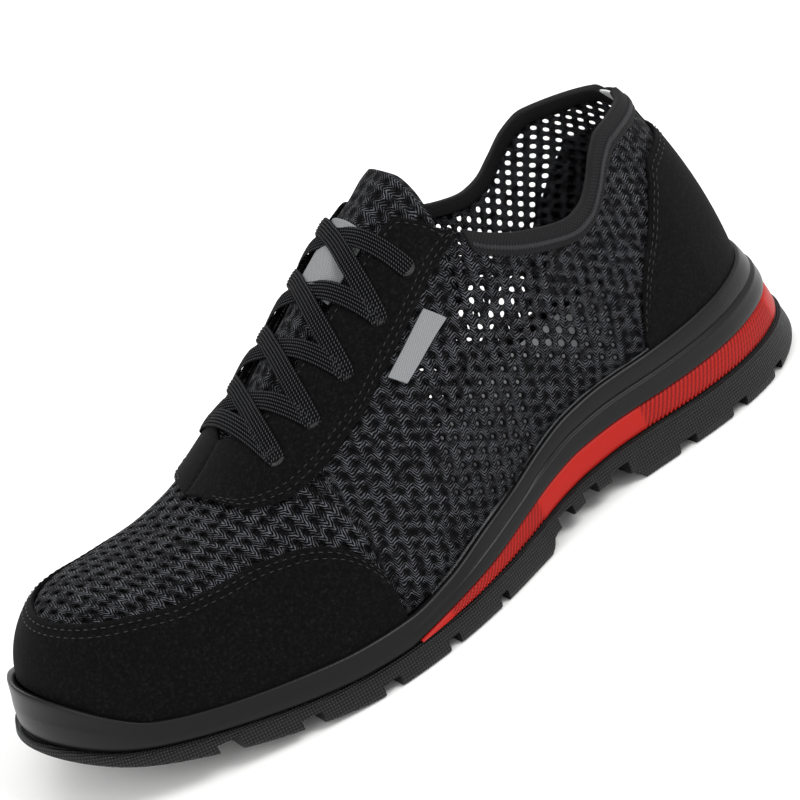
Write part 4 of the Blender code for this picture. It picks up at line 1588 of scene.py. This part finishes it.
def makeEyelets(material):
    made = []
    base = overlayPiece["base"] + overlayPiece["thickness"] + 0.15 * mm
    bore, radius, wall = eyeletPiece["bore"], eyeletPiece["radius"], eyeletPiece["wall"]
    profile = [(bore, -upperWall), (bore, base + 0.1 * mm), (bore + 0.25 * mm, base + 0.45 * mm),
               (bore + 0.7 * mm, base + 0.55 * mm), (radius - 0.4 * mm, base + 0.4 * mm),
               (radius, base + 0.1 * mm), (radius - 0.1 * mm, base), (bore + wall, base),
               (bore + wall, -upperWall)]
    for side in ("lateral", "medial"):
        for number, (station, share) in enumerate(eyeletPlaces, start=1):
            spot = (side, station)
            bm = bmesh.new()
            corners = [bm.verts.new((r, 0.0, z)) for r, z in profile]
            edges = [bm.edges.new((corners[k - 1], corners[k])) for k in range(len(corners))]
            bmesh.ops.spin(bm, geom=corners + edges, cent=(0, 0, 0), axis=(0, 0, 1),
                           angle=2 * math.pi, steps=32, use_merge=True)
            seat = turnTo(skin(spot, share), skinNormal(spot, share))
            bmesh.ops.transform(bm, matrix=seat, verts=bm.verts[:])
            bmesh.ops.recalc_face_normals(bm, faces=bm.faces[:])
            eyelet = newObject(f"eyelet_rim_{side}_{number}", bm, material, angle=50)
            made.append(place(eyelet, "eyelet_black_metal", f"eyelet_{side}_{number}"))
    return made


# Laces: flat woven ribbons with raised cords along them, which turn down into the eyelets
lacePiece = {
    "width": 6.4 * mm,
    "thickness": 1.0 * mm,
    "sag": 1.0 * mm,
    "cords": 6,
    "cordRise": 0.30 * mm,
    "dive": 0.045,
}


def ribbon(start, end, level, sag, seed):
    steps = 90
    spare = 0.050
    seat = overlayPiece["base"] + overlayPiece["thickness"] + 0.85 * mm
    here = -1.0 if start[0][0] == "lateral" else 1.0
    there = -1.0 if end[0][0] == "lateral" else 1.0
    rand = random.Random(seed)
    bow = [rand.uniform(-0.25, 0.25) * mm for _ in range(3)]

    def centre(f):
        station = start[0][1] + (end[0][1] - start[0][1]) * f
        across = here * (1 - start[1]) * (1 - f) + there * (1 - end[1]) * f
        spot = ("lateral" if across <= 0 else "medial", station)
        middle = 1 - ease((abs(2 * f - 1) - 0.10) / 0.40)
        lift = seat + (lacePiece["sag"] - seat) * middle * sag + level * (0.15 + 0.85 * middle)
        ends = max(ease((-0.01 - f) / lacePiece["dive"]), ease((f - 1.01) / lacePiece["dive"]))
        lift -= ends * 1.6 * mm
        lift += sum(b * math.sin(math.pi * (k + 2) * f) for k, b in enumerate(bow)) * 0.5
        return lifted(spot, 1 - abs(across), lift), skinNormal(spot, 1 - abs(across))

    frames = []
    for i in range(steps + 1):
        f = (1 + 2 * spare) * i / steps - spare
        spot, up = centre(f)
        ahead = (centre(f + 0.02)[0] - centre(f - 0.02)[0]).normalized()
        aside = up.cross(ahead).normalized()
        outside = max(-f, f - 1) / spare
        narrow = math.sqrt(max(1 - max(outside, 0.0) ** 2 * 0.75, 0.05))
        frames.append((spot, up, aside, narrow))
    length = sum((b[0] - a[0]).length for a, b in zip(frames, frames[1:]))

    # The section: a ribbed upper side from edge to edge, then a plain lower one
    upper = 6 * lacePiece["cords"]
    lower = 6
    around = upper + lower

    def sectionAt(j):
        j = j % around
        if j <= upper:
            across = 2 * j / upper - 1
            cord = abs(math.sin(math.pi * (across + 1) / 2 * lacePiece["cords"])) ** 0.7
            crown = math.sqrt(max(1 - abs(across) ** 4, 0.0))
            return across, crown * (0.5 - lacePiece["cordRise"] / lacePiece["thickness"] * (1 - cord))
        across = 1 - 2 * (j - upper) / lower
        return across, -0.5 * math.sqrt(max(1 - across ** 4, 0.0))

    def point(i, j):
        spot, up, aside, narrow = frames[i]
        across, height = sectionAt(j)
        cupped = 0.25 * mm * across * across
        return (spot + aside * across * narrow * lacePiece["width"] / 2
                + up * (height * lacePiece["thickness"] - cupped))

    def uv(i, j):
        return i / steps * length * 1000, (j if j <= upper else upper) / upper * lacePiece["cords"]

    return gridSheet(steps, around, point, uv)


def makeLaces(material):
    lateral = [(("lateral", station), share) for station, share in eyeletPlaces]
    medial = [(("medial", station), share) for station, share in eyeletPlaces]
    over = lacePiece["thickness"] * 0.8
    runs = [(lateral[0], medial[0], over / 2, 0.0)]
    for k in range(len(eyeletPlaces) - 1):
        runs.append((medial[k], lateral[k + 1], 0.0, 1.0))
        runs.append((lateral[k], medial[k + 1], over, 1.0))
    made = []
    for number, (start, end, level, sag) in enumerate(runs):
        bm = close(weld(ribbon(start, end, level, sag, number + 3)))
        piece = newObject(f"lace_run_{number}", bm, material, angle=60)
        made.append(place(piece, "lace_woven", "laces"))
    return made


# Finishes, and the steps that the materials share
def linkTo(material, name, source):
    shader = material.node_tree.nodes["Principled BSDF"]
    material.node_tree.links.new(source, shader.inputs[name])


# A step of arithmetic in the shader: numbers are set on the node, and sockets are linked to it
def reckon(material, operation, *values):
    node = addNode(material, "ShaderNodeMath", {"operation": operation})
    for socket, value in zip(node.inputs, values):
        if isinstance(value, (int, float)):
            socket.default_value = value
        else:
            material.node_tree.links.new(value, socket)
    return node.outputs[0]


# A sine or cosine along a value, with so many turns for each unit of it
def wave(material, source, turns, kind="SINE"):
    return reckon(material, kind, reckon(material, "MULTIPLY", source, 2 * math.pi * turns))


# From the range of a wave, -1 to 1, to the range 0 to 1
def raised(material, source):
    return reckon(material, "MULTIPLY_ADD", source, 0.5, 0.5)


# The two parts of a piece's own UV map
def surfaceParts(material):
    uv = addNode(material, "ShaderNodeUVMap", {"uv_map": "surface"}).outputs["UV"]
    split = addNode(material, "ShaderNodeSeparateXYZ", links={"Vector": uv})
    return split.outputs["X"], split.outputs["Y"]


def objectSpace(material):
    return addNode(material, "ShaderNodeTexCoord").outputs["Object"]


def noiseOf(material, scale, detail, roughness=0.5):
    settings = {"Scale": scale, "Detail": detail, "Roughness": roughness}
    return addNode(material, "ShaderNodeTexNoise", settings, {"Vector": objectSpace(material)}).outputs["Fac"]


def addBump(material, height, strength, distance, under=None):
    links = {"Height": height}
    if under:
        links["Normal"] = under
    settings = {"Strength": strength, "Distance": distance}
    normal = addNode(material, "ShaderNodeBump", settings, links).outputs["Normal"]
    linkTo(material, "Normal", normal)
    return normal


# Colours the surface by a ramp along a value
def paint(material, source, stops):
    node = addNode(material, "ShaderNodeValToRGB", links={"Fac": source})
    elements = node.color_ramp.elements
    while len(elements) < len(stops):
        elements.new(0.5)
    for element, (position, colour) in zip(elements, stops):
        element.position = position
        element.color = hexColour(colour)
    linkTo(material, "Base Color", node.outputs["Color"])


# Moulded outsole rubber: dull charcoal with a fine diamond print on the sides of the lugs, its raised
# diamonds painted paler as highlights and its hollows painted darker as shade
def outsoleRubber():
    material = newMaterial("moulded_outsole_rubber", "#161617", 0.50, Specular_IOR_Level=0.25)
    along, up = surfaceParts(material)
    waves = []
    for sign in (1.0, -1.0):
        leaning = reckon(material, "MULTIPLY_ADD", up, sign, along)
        waves.append(wave(material, leaning, 1 / solePiece["printPitch"]))
    diamonds = reckon(material, "MULTIPLY", *waves)
    printed = addBump(material, diamonds, 1.0, 0.5 * mm)
    addBump(material, noiseOf(material, 900.0, 3.0), 0.25, 0.2 * mm, printed)
    # Painted highlight on the raised diamonds, painted shade in their hollows
    paint(material, raised(material, diamonds), [(0.25, "#0a0a0b"), (0.55, "#121213"), (0.90, "#38383a")])
    return material


# Moulded red rubber: satin, with fine raked ribs whose grooves are painted a darker red as shade. Its UV map
# holds the count of ribs along it, and how far they show.
def redRubber():
    material = newMaterial("moulded_red_rubber", "#A01A13", 0.45, Specular_IOR_Level=0.15)
    addBump(material, noiseOf(material, 700.0, 3.0), 0.2, 0.2 * mm)
    ribs, shown = surfaceParts(material)
    groove = reckon(material, "MULTIPLY_ADD", wave(material, ribs, 1, "COSINE"), -0.5, 0.5)
    depth = reckon(material, "MULTIPLY", groove, shown)
    # Painted shade: a darker red in the grooves between the ribs
    paint(material, depth, [(0.10, "#A01A13"), (0.50, "#8E150F"), (1.0, "#6E100C")])
    return material


# Moulded midsole rubber: satin black, long soft highlights over a fine grain
def midsoleRubber():
    material = newMaterial("moulded_midsole_rubber", "#0b0b0c", 0.36, Specular_IOR_Level=0.22)
    addBump(material, noiseOf(material, 1100.0, 3.0), 0.25, 0.2 * mm)
    return material


# Knitted polyester: near black, thick braided yarns with fine slanted glints painted paler on their fibres as
# painted highlights.
# Its UV map counts the cells of the lattice, with a hole, or a pit painted dark as painted shade, in the
# middle of each.
def knitYarn(name, dark, paintedHighlight):
    material = newMaterial(name, dark, 0.7, Specular_IOR_Level=0.05)
    across, down = surfaceParts(material)
    ribs = []
    for part in (across, down):
        whole = reckon(material, "ABSOLUTE", wave(material, part, 0.5, "COSINE"))
        ribs.append(reckon(material, "POWER", whole, 0.8))
    braid = reckon(material, "MAXIMUM", *ribs)
    # The fibres slant to and fro along a cell, and noise makes them uneven
    half = reckon(material, "PINGPONG", across, 0.5)
    pushed = reckon(material, "MULTIPLY_ADD", noiseOf(material, 480.0, 2.0), 0.40, down)
    slanted = reckon(material, "MULTIPLY_ADD", half, 1.1, pushed)
    fibres = raised(material, wave(material, slanted, knitPiece["fibresPerCell"]))
    addBump(material, reckon(material, "MULTIPLY_ADD", fibres, 0.35, braid), 1.0, 0.7 * mm)
    # Painted highlight on the raised fibres, and painted shade in the middles of the cells
    paintedGlint = reckon(material, "MULTIPLY", braid, fibres)
    patchyPaintedGlint = reckon(material, "MULTIPLY", paintedGlint, noiseOf(material, 420.0, 2.0))
    paint(material, patchyPaintedGlint, [(0.12, dark), (0.30, "#161618"), (0.52, paintedHighlight)])
    return material


# Napped suede leather: matte, with a short nap that takes the light unevenly
def suedeLeather():
    material = newMaterial("napped_suede_leather", "#0b0b0b", 0.95, Specular_IOR_Level=0.08,
                           Sheen_Weight=0.02, Sheen_Roughness=0.5)
    addBump(material, noiseOf(material, 1500.0, 4.0, 0.7), 0.5, 0.3 * mm)
    paint(material, noiseOf(material, 850.0, 4.0, 0.75),
          [(0.38, "#030303"), (0.55, "#080808"), (0.74, "#191919")])
    return material


# Twisted polyester thread: small satin beads of light along each stitch
def sewingThread(name, colour):
    material = newMaterial(name, colour, 0.45, Specular_IOR_Level=0.3)
    settings = {"Scale": 900.0, "Distortion": 1.0}
    twist = addNode(material, "ShaderNodeTexWave", settings, {"Vector": objectSpace(material)})
    addBump(material, twist.outputs["Fac"], 0.3, 0.1 * mm)
    return material


# Woven cloth: crossing threads, painted paler where they stand up as a painted highlight and darker between
# them as painted shade, at a pitch along the UV map
def wovenCloth(name, dark, paintedHighlight, pitch, roughness=0.75, strength=0.5):
    material = newMaterial(name, dark, roughness, Specular_IOR_Level=0.15)
    waves = [wave(material, part, 1 / pitch) for part in surfaceParts(material)]
    weave = reckon(material, "MULTIPLY", *waves)
    addBump(material, weave, strength, 0.4 * mm)
    # Painted highlight on the raised threads, painted shade between them
    paint(material, raised(material, weave), [(0.2, dark), (0.8, paintedHighlight)])
    return material


# Flat braided lace: cords along it, crossed every 0.9 mm by threads whose raised crossings are painted pale
# as dotted highlights, with painted shade between the cords.
# Its UV map counts millimetres along it and cords across.
def braidedLace():
    material = newMaterial("flat_braided_lace", "#0a0a0b", 0.7, Specular_IOR_Level=0.06)
    along, across = surfaceParts(material)
    cords = reckon(material, "ABSOLUTE", wave(material, across, 0.5))
    leaning = reckon(material, "MULTIPLY_ADD", along, 1.1, across)
    height = reckon(material, "MULTIPLY", cords, raised(material, wave(material, leaning, 1)))
    addBump(material, height, 0.8, 0.4 * mm)
    # Painted highlight on the raised crossings, painted shade in the grooves between the cords
    paint(material, height, [(0.15, "#040405"), (0.60, "#141416"), (0.95, "#4c4d50")])
    return material


# Painted brass: black lacquer with a satin gleam, paler where it is worn
def paintedMetal():
    material = newMaterial("painted_black_brass", "#121213", 0.35, 0.3)
    paint(material, noiseOf(material, 600.0, 3.0), [(0.45, "#0e0e0f"), (0.75, "#2a2a2c")])
    return material


suede = suedeLeather()
collarKnit = wovenCloth("knitted_collar_band", "#0e0e0f", "#1e1e20", 1.1)
labelCloth = wovenCloth("woven_grey_label", "#6c6d6f", "#8a8b8d", 0.8, 0.7, 0.3)
quarterYarn = knitYarn("knitted_polyester_quarter", "#030304", "#525357")
print("materials ready")

makeOutsole(outsoleRubber())
makeStripe(redRubber())
makeMidsole(midsoleRubber())
makeInsole(wovenCloth("brushed_insole_cloth", "#a9aaac", "#c4c5c7", 1.2))
print("sole ready")

makeLining(wovenCloth("tricot_lining", "#0a0a0b", "#141416", 1.0))
for side in ("lateral", "medial"):
    makeQuarter(side, quarterYarn)
makeVamp(knitYarn("knitted_polyester_vamp", "#030304", "#56575b"))
makeBackTape(collarKnit)
makeHeelLining(wovenCloth("grey_heel_lining", "#3a3a3c", "#57585a", 1.2))
makeHeelTab(wovenCloth("pale_tab_cloth", "#b9babb", "#d8d9da", 1.0))
print("knit upper ready")

makeToeCap(suede)
makeCounter(suede)
makeEyestays(suede)
makeStitches(sewingThread("twisted_polyester_thread", "#1c1c1d"))
print("suede ready")

makeCollar(collarKnit)
makeCollarSewing(sewingThread("twisted_grey_thread", "#28282b"))
makeTongue(knitYarn("knitted_polyester_tongue", "#040405", "#56575b"))
makeLabel(labelCloth)
makeSideTag(labelCloth)
makeEyelets(paintedMetal())
makeLaces(braidedLace())
print("trim ready")


# Plain pale floor and soft studio light
stageSettings = {
    "floorSize": 6.0,
    "floorColour": "#FAFAF9",
    "worldStrength": 0.95,
    "keyPower": 6.0,
    "fillPower": 2.0,
}


def makeStage():
    bm = bmesh.new()
    bmesh.ops.create_grid(bm, x_segments=1, y_segments=1, size=stageSettings["floorSize"] / 2)
    material = newMaterial("pale_studio_paper", stageSettings["floorColour"], 0.9)
    floor = newObject("studio_floor", bm, material)


def softLight(name, spot, aim, size, power):
    lamp = bpy.data.lights.new(name, "AREA")
    lamp.shape = "DISK"
    lamp.size = size
    lamp.energy = power
    made = bpy.data.objects.new(name, lamp)
    made.location = spot
    made.rotation_euler = (Vector(spot) - Vector(aim)).to_track_quat("Z", "Y").to_euler()
    bpy.context.scene.collection.objects.link(made)


def makeLight():
    world = bpy.data.worlds.new("studio")
    world.use_nodes = True
    background = world.node_tree.nodes["Background"]
    background.inputs["Color"].default_value = hexColour("#FFFFFF")
    background.inputs["Strength"].default_value = stageSettings["worldStrength"]
    bpy.context.scene.world = world
    bpy.context.scene.view_settings.view_transform = "Standard"
    middle = (0, 0, 0.05)
    softLight("key_light", (0.35, -0.55, 0.85), middle, 0.5, stageSettings["keyPower"])
    softLight("fill_light", (-0.75, -0.35, 0.55), middle, 0.6, stageSettings["fillPower"])
    softLight("rim_light", (0.1, 0.8, 0.6), middle, 0.5, stageSettings["fillPower"])


# The photograph's camera: the shoe seen from its outer side, rolled so the heel stands high
cameraSettings = {
    "azimuth": -24.72,
    "elevation": 26.71,
    "roll": 21.96,
    "distance": 0.823,
    "lens": 116.21,
    "shift": (0.0059, 0.0390),
    "lookAt": (0, 0, 0.045),
}


def makeCamera():
    azimuth, elevation, roll = [math.radians(cameraSettings[k]) for k in ("azimuth", "elevation", "roll")]
    back = Vector((math.sin(azimuth) * math.cos(elevation), -math.cos(azimuth) * math.cos(elevation),
                   math.sin(elevation)))
    right = Vector((math.cos(azimuth), math.sin(azimuth), 0))
    up = back.cross(right)
    turnedRight = right * math.cos(roll) - up * math.sin(roll)
    turnedUp = right * math.sin(roll) + up * math.cos(roll)
    lens = bpy.data.cameras.new("photo_camera")
    lens.sensor_width = 36
    lens.lens = cameraSettings["lens"]
    lens.shift_x, lens.shift_y = cameraSettings["shift"]
    lens.clip_start = 0.05
    camera = bpy.data.objects.new("photo_camera", lens)
    turn = Matrix((turnedRight, turnedUp, back)).transposed().to_4x4()
    stand = Vector(cameraSettings["lookAt"]) + back * cameraSettings["distance"]
    camera.matrix_world = Matrix.Translation(stand) @ turn
    bpy.context.scene.collection.objects.link(camera)
    bpy.context.scene.camera = camera


makeStage()
makeLight()
makeCamera()
print("stage ready")
